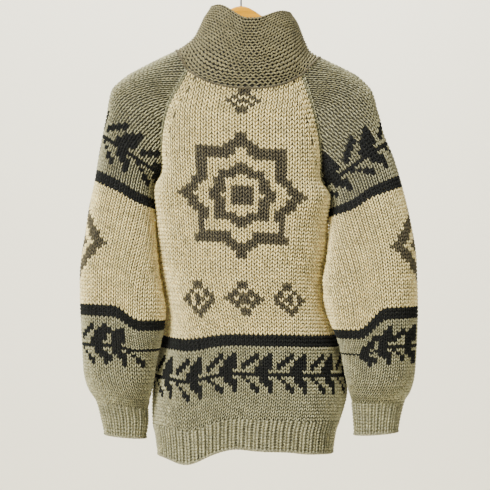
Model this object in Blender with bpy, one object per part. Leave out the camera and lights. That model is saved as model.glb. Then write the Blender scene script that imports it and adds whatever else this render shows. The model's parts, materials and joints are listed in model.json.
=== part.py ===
"""A heavy hand-knit cardigan with raglan sleeves and a high standing collar, hung on a wooden hanger.

Metres, +Z up. The back of the cardigan faces -Y and its zip faces +Y. The origin is where the
hanger's hook bears on its rail. Tables and helpers work in millimetres, and meshes are scaled.

Every cloth piece is a grid of points: row by row from one end of the piece to the other, with
each row running across it. Neighbours share the points of their seam, so they meet in a mitre.
"""

from collections import namedtuple
from math import cos, pi, radians, sin

import bmesh
import bpy
import numpy as np
from mathutils import Matrix, Vector

MM = 0.001

# Cloth
WALL = 5.0
SEAM_GAP = 0.3
MOST_MITRE = 1.35  # how much longer than WALL a mitre may be

# Edges that turn by more than this many degrees are shaded sharp
CLOTH_CREASE = 50
HARD_CREASE = 40

# Columns across each piece
BACK_COLUMNS = 18
FRONT_COLUMNS = 9
SLEEVE_COLUMNS = 24
DENSE = 241  # points of the curve that an even row is read from

# Ribs
RIB_HEIGHT = 2.4
RIB_PROFILE = (0.0, 1.0, 1.0)  # of the height, at even steps of one rib
HEM_RIBS_PER_COLUMN = 2
CUFF_RIBS_PER_COLUMN = 1

# Sleeves. Each section is a ring from its inner point (beside the body) round to its outer one.
# seam_turn is how far round from the inner point the two raglan seams lie, in degrees.
# shift moves a section along Y: the sleeves hang nearer the back than the body's sides do.
Section = namedtuple("Section", "outer_x outer_z inner_x inner_z half_depth seam_turn ridge shift")
LEFT_SLEEVE = [
    Section(*row)
    for row in (
        # outer_x outer_z inner_x inner_z half_depth seam_turn ridge shift
        (-216, -743, -152, -749, 26, 0, 0, -12),
        (-221, -720, -148, -723, 27, 0, 0, -15),
        (-228, -692, -148, -703, 30, 0, 0, -19),
        (-240, -671, -144, -684, 39, 0, 1, -25),
        (-247, -646, -138, -656, 46, 0, 2, -31),
        (-249, -611, -131, -617, 50, 0, 3, -34),
        (-252, -553, -122, -577, 52, 0, 4, -36),
        (-253, -520, -119, -546, 53, 0, 4, -36),
        (-253, -486, -125, -512, 53, 0, 4, -35),
        (-250, -455, -130, -482, 52, 0, 4, -33),
        (-245, -423, -133, -452, 51, 0, 4, -28),
        (-240, -384, -136, -419, 50, 0, 3, -21),
        (-232, -342, -138, -387, 49, 0, 2, -11),
        (-226, -299, -136, -352, 48, 0, 1, 0),
        (-219, -262, -124, -327, 47, 28, 0, 0),
        (-213, -232, -124, -295, 46, 42, 0, 0),
        (-210, -211, -123, -268, 46, 52, 0, 0),
        (-205, -195, -120, -246, 45, 60, 0, 0),
        (-195, -184, -115, -227, 45, 67, 0, 0),
        (-178, -171, -109, -212, 44, 73, 0, 0),
        (-150, -156, -101, -198, 44, 79, 0, 0),
        (-126, -144, -93, -183, 43, 85, 0, 0),
        (-103, -133, -85, -167, 42, 90, 0, 0),
    )
]
RIGHT_SLEEVE = [
    Section(*row)
    for row in (
        # outer_x outer_z inner_x inner_z half_depth seam_turn ridge shift
        (249, -739, 181, -744, 26, 0, 0, -12),
        (253, -714, 179, -716, 27, 0, 0, -15),
        (259, -690, 176, -693, 30, 0, 0, -19),
        (267, -675, 172, -676, 39, 0, 1, -25),
        (273, -652, 166, -654, 46, 0, 2, -31),
        (276, -614, 160, -622, 50, 0, 3, -34),
        (278, -557, 152, -590, 52, 0, 4, -36),
        (278, -524, 140, -562, 53, 0, 4, -36),
        (277, -492, 132, -533, 53, 0, 4, -35),
        (276, -461, 130, -500, 52, 0, 4, -33),
        (272, -430, 135, -469, 51, 0, 4, -28),
        (265, -392, 139, -435, 50, 0, 3, -21),
        (256, -351, 141, -399, 49, 0, 2, -11),
        (243, -304, 141, -366, 48, 0, 1, 0),
        (228, -268, 126, -340, 47, 28, 0, 0),
        (222, -244, 125, -309, 46, 42, 0, 0),
        (217, -227, 123, -281, 46, 52, 0, 0),
        (213, -211, 120, -257, 45, 60, 0, 0),
        (206, -194, 115, -235, 45, 67, 0, 0),
        (187, -175, 111, -219, 44, 73, 0, 0),
        (162, -161, 107, -205, 44, 79, 0, 0),
        (143, -152, 102, -190, 43, 85, 0, 0),
        (126, -144, 97, -174, 42, 90, 0, 0),
    )
]
SLEEVES = (LEFT_SLEEVE, RIGHT_SLEEVE)
CUFF_TOP = 2
LOWER_STRIPE = 6
UPPER_STRIPE = 12
UNDERARM = 13
NECK = len(LEFT_SLEEVE) - 1
SLEEVE_PARTS = {  # first and last section of each
    "cuff": (0, CUFF_TOP),
    "sleeve_band": (CUFF_TOP, LOWER_STRIPE),
    "sleeve": (LOWER_STRIPE, UPPER_STRIPE),
    "sleeve_cap": (UPPER_STRIPE, NECK),
}
RIDGE_WIDTH = 0.30  # of the sleeve's half width

# The body above the underarm: its edges are the sleeves' seams.
YokeRow = namedtuple("YokeRow", "back_y front_y sweep fullness back_drop front_drop")
YOKE = [
    YokeRow(*row)
    for row in (
        # back_y front_y sweep fullness back_drop front_drop
        (-88, 88, 90, 0.55, 3, 0),
        (-88, 88, 82, 0.60, 4, 3),
        (-88, 88, 75, 0.66, 6, 8),
        (-88, 88, 69, 0.72, 8, 13),
        (-87, 88, 64, 0.78, 11, 19),
        (-86, 87, 60, 0.82, 14, 25),
        (-85, 86, 57, 0.85, 18, 31),
        (-83, 85, 54, 0.88, 22, 37),
        (-80, 83, 51, 0.90, 26, 42),
        (-77, 80, 48, 0.92, 29, 46),
    )
]

# The body below the underarm: two half tubes that meet at the side seams, at side_y.
# A fullness squares its half's section: 1 is an ellipse. drop lowers a row's middle.
BodyRow = namedtuple(
    "BodyRow", "left_x left_z right_x right_z back_y front_y side_y back_fullness front_fullness drop"
)
BODY = [
    BodyRow(*row)
    for row in (
        # left_x left_z right_x right_z back_y front_y side_y back_fullness front_fullness drop
        (-135.5, -392, 138, -406, -89, 89, 14, 0.64, 0.52, 1),
        (-135, -432, 138, -445, -90, 90, 20, 0.72, 0.50, 0),
        (-131, -484, 133, -496, -91, 90, 25, 0.78, 0.50, -2),
        (-123.5, -536, 137, -542, -92, 90, 28, 0.80, 0.50, -4),
        (-124, -573, 147, -573, -93, 90, 28, 0.80, 0.50, -5),
        (-131, -605, 158, -604, -94, 90, 28, 0.80, 0.50, -6),
        (-137, -643, 166, -641, -94, 90, 26, 0.78, 0.50, -7),
        (-140, -685, 168, -682, -94, 89, 20, 0.70, 0.50, -9),
        (-139, -727, 157, -721, -93, 88, 14, 0.60, 0.52, -10),
        (-135, -745, 150, -740, -92, 87, 10, 0.55, 0.52, -11),
        (-131, -774, 145, -771, -92, 87, 8, 0.52, 0.52, -11),
    )
]
HEM_RIB_ROWS = 3

# Soft folds of the back and front, growing from start_z down to the hem
Fold = namedtuple("Fold", "x half_width out dip start_z")
FOLD_GROWTH = 1.3
BACK_FOLDS = [
    Fold(*row)
    for row in (
        # x half_width out dip start_z
        (-84, 34, 7, 17, -430),
        (-8, 26, -4, -4, -480),
        (48, 20, 3, 0, -520),
        (104, 24, 4, 2, -470),
    )
]
FRONT_FOLDS = [
    Fold(*row)
    for row in (
        # x half_width out dip start_z
        (-78, 26, 5, 5, -420),
        (92, 30, 6, 9, -450),
    )
]

# Front opening
ZIP_X = 8.0
OPENING_HALF = 5.5

# Collar rings above the seam: the sides, the back and the front of each
CollarRow = namedtuple("CollarRow", "left_x left_z right_x right_z back_y back_z front_y front_z rise")
COLLAR = [
    CollarRow(*row)
    for row in (
        # left_x left_z right_x right_z back_y back_z front_y front_z rise
        (-88, -123, 110, -133, -76, -182, 78, -208, 0.1),
        (-75, -111, 102, -117, -72, -165, 73, -190, 0.3),
        (-67, -96, 96, -101, -67, -145, 67, -168, 0.5),
        (-60, -81, 90, -87, -61, -120, 60, -141, 0.75),
        (-52, -69, 83, -77, -56, -99, 54, -116, 0.95),
        (-48, -62, 80, -72, -54, -86, 51, -97, 1.0),
    )
]
BACK_RISE_POWER = 4.8  # how late the seam rises towards the shoulders
FRONT_RISE_POWER = 1.6
EDGE_RISE = (0.08, 0.85)  # shares of the half width between which the top edge rises

# Zip
TAPE = 1.2
TAPE_GAP = 0.4
TAPE_REACH = 11.0  # behind the front's edge
CHAIN_HALF = 1.6  # half the space between the tapes
TAPE_END_BANDS = 1  # hem bands that the tapes stop above
SLIDER_PLATE = (9.0, 12.0, 1.2)
SLIDER_SPACE = 1.25  # from the zip's plane to a plate
SLIDER_BELOW_TOP = 6.0
SLIDER_BRIDGE = (2.4, 5.0)
SLIDER_EDGE = 0.35
SUNK = 0.4  # how far a joined part reaches into the one that carries it
CROWN_WIDTH, CROWN_POST, CROWN_HEIGHT, CROWN_SPAN = 2.0, 1.2, 3.4, 8.4
CROWN_CORNER = 0.6
PULL_BAR_Z, PULL_BAR_Y = -1.6, 1.1  # on the slider's upper plate
PULL_THICKNESS = 1.3
PULL_SLOT = (3.2, 6.4)
PULL_ARM = 1.4
PULL_NECK = (1.5, 4.0)  # below the slot, where the neck ends and the full width starts
PULL_CORNER = 2.0
PULL_LENGTH, PULL_WIDTH = 23.0, 7.0
BOX_SIZE = (9.0, 4.0, 9.0)
BOX_EDGE = 0.8

# Hanger
HangerRow = namedtuple("HangerRow", "x top height")
HANGER = [
    HangerRow(*row)
    for row in (
        # x top height
        (0, -61.3, 27),
        (8, -62.4, 27),
        (15, -65.3, 26),
        (23, -69.9, 25),
        (33, -76.8, 24),
        (52, -94.8, 23),
        (73, -118.3, 22),
        (88, -131.3, 21),
        (103, -139.9, 21),
        (126, -150.5, 21),
        (150, -162.5, 20),
        (177, -178.1, 18),
        (186, -184.8, 15),
        (192, -191.3, 9),
    )
]
HANGER_THICKNESS = 14.0
HANGER_ROUNDING = 3.4  # power of the section's superellipse
HANGER_SIDES = 12
WIRE = 3.0
WIRE_SIDES = 12
WIRE_HOLE = 3.7
WIRE_DEPTH = 18.0
WIRE_END_SPACE = 2.0  # below the wire's end in its hole
HOOK_RADIUS = 17.5  # inside the hook
HOOK_POINTS = 22
HOOK_JOIN = 40.0  # degrees round from the foot of the loop, where the bend joins it
HOOK_END = 280.0
HOOK_NECK = 12.0  # height of the bend from the stem into the loop
HOOK_PULLS = (8.0, 12.0)  # of the bend's two ends along their tangents


# Points

def sleeve_ring(section):
    """One section of a sleeve, from the back seam over the outer side to the front seam."""
    turn = radians(section.seam_turn)
    inner = np.array([section.inner_x, 0.0, section.inner_z])
    outer = np.array([section.outer_x, 0.0, section.outer_z])
    centre = (inner + outer * cos(turn)) / (1 + cos(turn))
    angles = np.linspace(turn, 2 * pi - turn, SLEEVE_COLUMNS + 1)
    depth = -section.half_depth * np.sin(angles)
    depth += np.sign(depth) * section.ridge * np.exp(-((np.cos(angles) / RIDGE_WIDTH) ** 2))
    ring = centre - np.outer(np.cos(angles), outer - centre)
    ring[:, 1] += depth + section.shift
    return ring


def sleeve_grid(table, first, last):
    return np.array([sleeve_ring(section) for section in table[first : last + 1]])


def seam_point(table, row, is_back):
    """The raglan seam's point on one section, at the back or at the front."""
    return sleeve_ring(table[row])[0 if is_back else -1]


def fold_row(points, across, folds, hem_z, out_sign):
    """Pushes a row out or in, and down or up, where each fold passes it, but not at its ends."""
    inside = 1 - across**8
    for fold in folds:
        grown = np.clip((fold.start_z - points[:, 2]) / (fold.start_z - hem_z), 0, 1) ** FOLD_GROWTH
        near = grown * inside * np.exp(-(((points[:, 0] - fold.x) / fold.half_width) ** 2))
        points[:, 1] += out_sign * fold.out * near
        points[:, 2] -= fold.dip * near
    return points


def body_curve(left, right, centre_y, sweep, fullness, drop, folds):
    """A closely spaced row of the body from its left edge to its right one, bowed to centre_y."""
    angles = np.linspace(-radians(sweep), radians(sweep), DENSE)
    across = np.sin(angles) / sin(radians(sweep))
    level = cos(radians(sweep))
    bow = np.clip((np.cos(angles) - level) / (1 - level), 0, 1) ** fullness
    points = (left + right) / 2 + np.outer(across, (right - left) / 2)
    points[:, 1] += (centre_y - left[1]) * bow
    points[:, 2] -= drop * (1 - np.abs(across) ** 2.5)
    return fold_row(points, across, folds, BODY[-1].left_z, np.sign(centre_y))


def even_points(curve, columns):
    """columns + 1 points at even distances along a curve."""
    length = np.concatenate([[0], np.cumsum(np.linalg.norm(np.diff(curve, axis=0), axis=1))])
    wanted = np.linspace(0, length[-1], columns + 1)
    return np.stack([np.interp(wanted, length, curve[:, axis]) for axis in range(3)], axis=1)


def cut_at(curve, x):
    """The curve's point at this x."""
    return np.array([x, *(np.interp(x, curve[:, 0], curve[:, axis]) for axis in (1, 2))])


def body_curves(is_back):
    """The curves of all body rows, from the hem up to the neck."""
    curves = []
    folds = BACK_FOLDS if is_back else FRONT_FOLDS
    for row in reversed(BODY):
        left = np.array([row.left_x, row.side_y, row.left_z])
        right = np.array([row.right_x, row.side_y, row.right_z])
        centre_y = row.back_y if is_back else row.front_y
        fullness = row.back_fullness if is_back else row.front_fullness
        curves.append(body_curve(left, right, centre_y, 90, fullness, row.drop, folds))
    for index, row in enumerate(YOKE):
        left, right = (seam_point(table, UNDERARM + index, is_back) for table in SLEEVES)
        centre_y, drop = (row.back_y, row.back_drop) if is_back else (row.front_y, row.front_drop)
        curves.append(body_curve(left, right, centre_y, row.sweep, row.fullness, drop, folds))
    return curves


def back_grid():
    return np.array([even_points(curve, BACK_COLUMNS) for curve in body_curves(True)])


def front_grid(side):
    """A front from its side edge (side -1 is left, 1 right) to its edge at the zip."""
    rows = []
    for curve in body_curves(False):
        edge = cut_at(curve, ZIP_X + side * OPENING_HALF)
        kept = curve[(curve[:, 0] - edge[0]) * side > 0]
        if side > 0:
            kept = kept[::-1]
        rows.append(even_points(np.vstack([kept, edge]), FRONT_COLUMNS))
    return np.array(rows)


def smooth_step(value, low, high):
    t = np.clip((value - low) / (high - low), 0, 1)
    return t * t * (3 - 2 * t)


def collar_grid(neck):
    """The collar from its seam, whose points are neck, to its top edge."""
    x = neck[:, 0]
    turn = np.arcsin(np.clip(2 * (x - x.min()) / (x.max() - x.min()) - 1, -1, 1))
    places = np.arange(len(x))
    # Round from the left front (-pi) over the left side, the back (0) and the right side (pi / 2).
    angles = np.where(places >= x.argmax(), pi - turn, turn)
    angles = np.where(places <= x.argmin(), -pi - turn, angles)
    grid = [neck]
    for row in COLLAR:
        middle, half = (row.left_x + row.right_x) / 2, (row.right_x - row.left_x) / 2
        first = -pi - np.arcsin((ZIP_X - OPENING_HALF - middle) / half)
        last = pi - np.arcsin((ZIP_X + OPENING_HALF - middle) / half)
        turned = np.interp(angles, (angles[0], -pi / 2, pi / 2, angles[-1]), (first, -pi / 2, pi / 2, last))
        share = np.abs(np.sin(turned))
        back = np.cos(turned) > 0
        seam_rise = share ** np.where(back, BACK_RISE_POWER, FRONT_RISE_POWER)
        rise = (1 - row.rise) * seam_rise + row.rise * smooth_step(share, *EDGE_RISE)
        side_z = np.where(np.sin(turned) < 0, row.left_z, row.right_z)
        low_z = np.where(back, row.back_z, row.front_z)
        depth = np.where(back, row.back_y, -row.front_y) * np.cos(turned)
        height = low_z + (side_z - low_z) * rise
        grid.append(np.stack([middle + half * np.sin(turned), depth, height], axis=1))
    return np.array(grid)


# Cloth walls

def grid_faces(rows, columns, joined_rows=0, flip=False):
    """Quads of a grid, which is a closed tube up to row joined_rows."""
    def at(row, column):
        return row * columns + (0 if column == columns - 1 and row < joined_rows else column)

    quads = []
    for row in range(rows - 1):
        for column in range(columns - 1):
            below = (at(row, column), at(row, column + 1))
            above = (at(row + 1, column + 1), at(row + 1, column))
            quads.append(below + above)
    return [quad[::-1] for quad in quads] if flip else quads


class Sheet:
    """One piece's outer surface: its points, faces and which way is out."""

    def __init__(self, name, grid, flip=False, joined_rows=0):
        self.name, self.grid, self.flip, self.joined_rows = name, grid, flip, joined_rows
        self.faces = grid_faces(*grid.shape[:2], joined_rows, flip)
        self.points = grid.reshape(-1, 3)


def seam_key(point):
    return tuple(np.round(point, 2))


def shared_normals(sheets):
    """Normals summed over every sheet that meets at a point, so that seams are mitred."""
    found = {}
    for sheet in sheets:
        for face in sheet.faces:
            corners = sheet.points[list(face)]
            normal = np.cross(corners[2] - corners[0], corners[3] - corners[1])
            for corner in corners:
                found.setdefault(seam_key(corner), []).append(normal / np.linalg.norm(normal))
    mitres = {}
    for key, normals in found.items():
        mean = np.sum(normals, axis=0)
        mean /= np.linalg.norm(mean)
        mitres[key] = mean * min(1 / np.mean(normals @ mean), MOST_MITRE)
    return mitres


def stepped_in(grid, joined_rows):
    """The grid with its outer edges drawn in by half the seam gap."""
    half_gap = SEAM_GAP / 2
    result = grid.copy()

    def draw(edge, inside, rows=slice(None)):
        way = inside - edge
        way /= np.maximum(np.linalg.norm(way, axis=-1, keepdims=True), 1e-9)
        return edge + half_gap * way

    result[0] = draw(result[0], result[1])
    result[-1] = draw(result[-1], result[-2])
    open_rows = slice(joined_rows, None)
    result[open_rows, 0] = draw(result[open_rows, 0], result[open_rows, 1])
    result[open_rows, -1] = draw(result[open_rows, -1], result[open_rows, -2])
    return result


def cloth_object(name, outer, inner, faces, material):
    """A closed wall between two like grids of points, with a rim round every open edge."""
    count = len(outer)
    mesh = bpy.data.meshes.new(name)
    built = bmesh.new()
    used = sorted({index for face in faces for index in face})
    vertices = {}
    for layer, points in enumerate((outer, inner)):
        for index in used:
            vertices[index + layer * count] = built.verts.new(Vector(points[index]) * MM)
    for face in faces:
        built.faces.new([vertices[index] for index in face])
    position = {vertex: index for index, vertex in vertices.items()}
    rims = []
    for edge in built.edges:
        if edge.is_boundary:
            loop = edge.link_loops[0]
            start, end = position[loop.vert], position[loop.link_loop_next.vert]
            rims.append((end, start, start + count, end + count))
    for face in faces:
        built.faces.new([vertices[index + count] for index in reversed(face)])
    for rim in rims:
        built.faces.new([vertices[index] for index in rim])
    bmesh.ops.triangulate(built, faces=built.faces[:])
    built.to_mesh(mesh)
    built.free()
    mesh.shade_smooth()
    mesh.set_sharp_from_angle(angle=radians(CLOTH_CREASE))
    mesh.materials.append(material)
    bpy.context.scene.collection.objects.link(bpy.data.objects.new(name, mesh))


def wall_grids(sheet, mitres):
    """The outer and inner points of a sheet's wall, drawn in at its seams."""
    normals = np.array([mitres[seam_key(point)] for point in sheet.points]).reshape(sheet.grid.shape)
    outer = stepped_in(sheet.grid, sheet.joined_rows)
    inner = stepped_in(sheet.grid - WALL * normals, sheet.joined_rows)
    return outer, inner, normals


def ribbed(outer, inner, normals, ribs_per_column, is_tube):
    """Finer columns, with ribs raised on the outer points and a plain inside."""
    steps = ribs_per_column * len(RIB_PROFILE)
    columns = outer.shape[1]
    places = np.linspace(0, columns - 1, (columns - 1) * steps + 1)
    below = np.minimum(places.astype(int), columns - 2)
    share = (places - below)[:, None]

    def finer(grid):
        return grid[:, below] * (1 - share) + grid[:, below + 1] * share

    height = RIB_HEIGHT * np.array([RIB_PROFILE[i % len(RIB_PROFILE)] for i in range(len(places))])
    if not is_tube:
        height[-1] = 0
    return finer(outer) + finer(normals) * height[:, None], finer(inner)


def shell(sheet, mitres, material):
    outer, inner, _ = wall_grids(sheet, mitres)
    cloth_object(sheet.name, outer.reshape(-1, 3), inner.reshape(-1, 3), sheet.faces, material)


def rib_shell(sheet, mitres, ribs_per_column, material):
    outer, inner, normals = wall_grids(sheet, mitres)
    outer, inner = ribbed(outer, inner, normals, ribs_per_column, sheet.joined_rows > 0)
    faces = grid_faces(*outer.shape[:2], sheet.joined_rows, sheet.flip)
    cloth_object(sheet.name, outer.reshape(-1, 3), inner.reshape(-1, 3), faces, material)


# Materials

def finish(name, colour, roughness, metallic=0.0):
    material = bpy.data.materials.new(name)
    material.use_nodes = True
    shader = material.node_tree.nodes["Principled BSDF"]
    shader.inputs["Base Color"].default_value = (*colour, 1)
    shader.inputs["Roughness"].default_value = roughness
    shader.inputs["Metallic"].default_value = metallic
    return material


# Hard pieces

def placed_object(name, built, material, placement=None):
    """Links a finished bmesh in millimetres as an object, whose origin is at its placement."""
    mesh = bpy.data.meshes.new(name)
    bmesh.ops.transform(built, matrix=Matrix.Scale(MM, 4), verts=built.verts)
    bmesh.ops.recalc_face_normals(built, faces=built.faces)
    built.to_mesh(mesh)
    built.free()
    mesh.shade_smooth()
    mesh.set_sharp_from_angle(angle=radians(HARD_CREASE))
    mesh.materials.append(material)
    built_object = bpy.data.objects.new(name, mesh)
    if placement is not None:
        built_object.matrix_world = placement
    bpy.context.scene.collection.objects.link(built_object)
    return built_object


def add_block(built, size, centre, bevel=0.0):
    """A block of this size with bevelled edges, added to a bmesh."""
    made = bmesh.ops.create_cube(built, size=1.0)["verts"]
    bmesh.ops.scale(built, vec=size, verts=made)
    bmesh.ops.translate(built, vec=centre, verts=made)
    if bevel:
        edges = {edge for vertex in made for edge in vertex.link_edges}
        bmesh.ops.bevel(built, geom=list(edges), offset=bevel, segments=1, affect="EDGES")


def thicken(built, face, way):
    """Grows a flat face into a solid along way."""
    grown = bmesh.ops.extrude_face_region(built, geom=[face])["geom"]
    moved = [item for item in grown if isinstance(item, bmesh.types.BMVert)]
    bmesh.ops.translate(built, vec=way, verts=moved)


def cutter(name, built, placement=None):
    made = placed_object(name, built, None, placement)
    made.data.materials.clear()
    made.hide_render = True
    made.display_type = "WIRE"
    return made


def boolean(target, other, operation):
    modifier = target.modifiers.new(other.name, "BOOLEAN")
    modifier.object = other
    modifier.operation = operation
    modifier.solver = "EXACT"


def hanger_section(row, side):
    """A rounded section of the hanger's arm at one x."""
    angles = np.linspace(0, 2 * pi, HANGER_SIDES, endpoint=False) + pi / HANGER_SIDES
    power = 2 / HANGER_ROUNDING

    def rounded(value):
        return np.sign(value) * np.abs(value) ** power

    y = HANGER_THICKNESS / 2 * rounded(np.cos(angles))
    z = row.height / 2 * rounded(np.sin(angles))
    z += row.top - z.max()
    return [(side * row.x, depth, height) for depth, height in zip(y, z)]


def make_hanger_wood(material):
    """The arms as one loft from end to end, with a bored hole for the hook's wire."""
    built = bmesh.new()
    stations = [hanger_section(row, -1) for row in reversed(HANGER)]
    stations += [hanger_section(row, 1) for row in HANGER[1:]]
    rings = [[built.verts.new(point) for point in station] for station in stations]
    for near, far in zip(rings, rings[1:]):
        for i in range(HANGER_SIDES):
            j = (i + 1) % HANGER_SIDES
            built.faces.new((near[i], near[j], far[j], far[i]))
    built.faces.new(rings[0][::-1])
    built.faces.new(rings[-1])
    wood = placed_object("hanger_wood", built, material)
    hole = bmesh.new()
    radius, depth = WIRE_HOLE / 2, 2 * (WIRE_DEPTH + WIRE_END_SPACE)
    bmesh.ops.create_cone(
        hole, cap_ends=True, segments=WIRE_SIDES, radius1=radius, radius2=radius, depth=depth
    )
    bmesh.ops.translate(hole, vec=(0, 0, HANGER[0].top), verts=hole.verts)
    boolean(wood, cutter("wire_hole", hole), "DIFFERENCE")


def hook_route():
    """The wire's centre line: up the stem, round the neck's bend and over the loop."""
    radius = HOOK_RADIUS + WIRE / 2
    centre_z = -HOOK_RADIUS

    def on_loop(angle):
        return np.array([radius * sin(angle), centre_z - radius * cos(angle)])

    join = radians(HOOK_JOIN)
    foot = np.array([0.0, centre_z - radius - HOOK_NECK])
    end = on_loop(join)
    leaving = foot + np.array([0.0, HOOK_PULLS[0]])
    arriving = end - HOOK_PULLS[1] * np.array([cos(join), sin(join)])
    points = [np.array([0.0, HANGER[0].top - WIRE_DEPTH]), foot]
    for t in np.linspace(0.2, 1, 5):
        near, far = (1 - t) ** 3 * foot + 3 * t * (1 - t) ** 2 * leaving, 3 * t**2 * (1 - t) * arriving
        points.append(near + far + t**3 * end)
    points += [on_loop(angle) for angle in np.linspace(join, radians(HOOK_END), HOOK_POINTS)[1:]]
    return [(x, 0.0, z) for x, z in points]


def make_hanger_hook(material):
    curve = bpy.data.curves.new("hanger_hook", "CURVE")
    curve.dimensions = "3D"
    spline = curve.splines.new("POLY")
    route = hook_route()
    spline.points.add(len(route) - 1)
    for point, place in zip(spline.points, route):
        point.co = (*(value * MM for value in place), 1)
    curve.bevel_depth = WIRE / 2 * MM
    curve.bevel_resolution = 2
    curve.use_fill_caps = True
    curve.materials.append(material)
    hook = bpy.data.objects.new("hanger_hook", curve)
    bpy.context.scene.collection.objects.link(hook)


# Zip

def zip_lines(front_inner, rib_inner, collar_inner):
    """For one side, the inner points at the front's edge and one column in, from hem to top."""
    edge = [rib_inner[:, -1], front_inner[:, -1], collar_inner[:, 0]]
    beside = [rib_inner[:, -2], front_inner[:, -2], collar_inner[:, 1]]
    return np.vstack(edge), np.vstack(beside)


def tape_wall(name, edge, beside, side, material):
    """A flat tape behind a front's edge, from TAPE_REACH inside it to the teeth."""
    along = np.gradient(edge, axis=0)
    out = np.stack([np.zeros(len(edge)), along[:, 2], -along[:, 1]], axis=1)
    out /= np.linalg.norm(out, axis=1, keepdims=True)
    way = beside - edge
    slope = way / np.abs(way[:, :1])
    slope[:, 2] = 0
    far = edge + slope * TAPE_REACH
    near = edge - slope * (OPENING_HALF - CHAIN_HALF)
    near[:, 0] = ZIP_X + side * CHAIN_HALF
    front = np.stack([far, near], axis=1) - (TAPE_GAP * out)[:, None]
    back = front - (TAPE * out)[:, None]
    faces = grid_faces(len(edge), 2, flip=side < 0)
    cloth_object(name, front.reshape(-1, 3), back.reshape(-1, 3), faces, material)


def slider_placement(edge):
    """The slider's frame: on the zip's plane near its top, X across, Y out and Z up the zip."""
    top, below = edge[-1], edge[-2]
    up = Vector(top - below)
    up.x = 0
    up.normalize()
    out = Vector((0, up.z, -up.y))
    below_top = SLIDER_BELOW_TOP + SLIDER_PLATE[1] / 2
    centre = Vector(top) - up * below_top - out * (TAPE_GAP + TAPE / 2)
    centre.x = ZIP_X
    frame = Matrix((Vector((1, 0, 0)), out, up)).transposed().to_4x4()
    return Matrix.Translation(centre * MM) @ frame


def make_slider(placement, material):
    """Two plates, the bridge between them and the crown that holds the pull."""
    width, height, plate = SLIDER_PLATE
    built = bmesh.new()
    add_block(built, (width, plate, height), (0, SLIDER_SPACE + plate / 2, 0), SLIDER_EDGE)
    slider = placed_object("zip_slider", built, material, placement)
    under = bmesh.new()
    add_block(under, (width, plate, height), (0, -SLIDER_SPACE - plate / 2, 0), SLIDER_EDGE)
    boolean(slider, cutter("slider_under", under, placement), "UNION")
    bridge = bmesh.new()
    bridge_width, bridge_height = SLIDER_BRIDGE
    bridge_z = (height - bridge_height) / 2 - SUNK
    add_block(bridge, (bridge_width, 2 * SLIDER_SPACE + plate, bridge_height), (0, 0, bridge_z))
    boolean(slider, cutter("slider_bridge", bridge, placement), "UNION")
    crown = bmesh.new()
    top = SLIDER_SPACE + plate
    half, inner = CROWN_SPAN / 2, CROWN_SPAN / 2 - CROWN_POST
    under_bar = CROWN_HEIGHT - CROWN_POST
    shoulder = [(half - CROWN_CORNER, CROWN_HEIGHT), (half, CROWN_HEIGHT - CROWN_CORNER)]
    outline = shoulder + [(half, -SUNK), (inner, -SUNK), (inner, under_bar)]
    outline += [(-z, y) for z, y in reversed(outline)]
    crown_face = crown.faces.new([crown.verts.new((-CROWN_WIDTH / 2, top + y, z)) for z, y in outline])
    thicken(crown, crown_face, (CROWN_WIDTH, 0, 0))
    boolean(slider, cutter("slider_crown", crown, placement), "UNION")


def make_pull(placement, material):
    """The pull: a slotted end round the crown and a plain plate, its origin on the bar's axis."""
    bar = Vector((0, SLIDER_SPACE + SLIDER_PLATE[2] + PULL_BAR_Y, PULL_BAR_Z))
    slot_width, slot_length = PULL_SLOT
    half, thick, end = PULL_WIDTH / 2, PULL_THICKNESS, -PULL_LENGTH
    neck = slot_width / 2 + PULL_ARM
    neck_end, wide_start = (-slot_length - below for below in PULL_NECK)
    right = [(neck, thick / 2), (neck, neck_end), (half, wide_start)]
    right += [(half, end + PULL_CORNER), (half - PULL_CORNER, end)]
    outline = right + [(-x, z) for x, z in reversed(right)]
    built = bmesh.new()
    face = built.faces.new([built.verts.new((x, -thick / 2, z)) for x, z in outline])
    thicken(built, face, (0, thick, 0))
    turned = placement @ Matrix.Translation(bar * MM)
    pull = placed_object("zip_pull_tab", built, material, turned)
    slot = bmesh.new()
    slot_size = (slot_width, 3 * thick, slot_length - thick / 2)
    add_block(slot, slot_size, (0, 0, -(slot_length + thick / 2) / 2))
    boolean(pull, cutter("pull_slot", slot, turned), "DIFFERENCE")


def make_box(edge, material):
    """The block at the foot of the zip that its two halves start in."""
    built = bmesh.new()
    add_block(built, BOX_SIZE, (0, 0, 0), BOX_EDGE)
    y = edge[0][1] - TAPE_GAP - TAPE / 2
    z = edge[TAPE_END_BANDS][2] - SEAM_GAP - BOX_SIZE[2] / 2
    placed_object("zip_box", built, material, Matrix.Translation(Vector((ZIP_X, y, z)) * MM))


def clear_scene():
    for leftover in list(bpy.data.objects):
        bpy.data.objects.remove(leftover, do_unlink=True)


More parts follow.
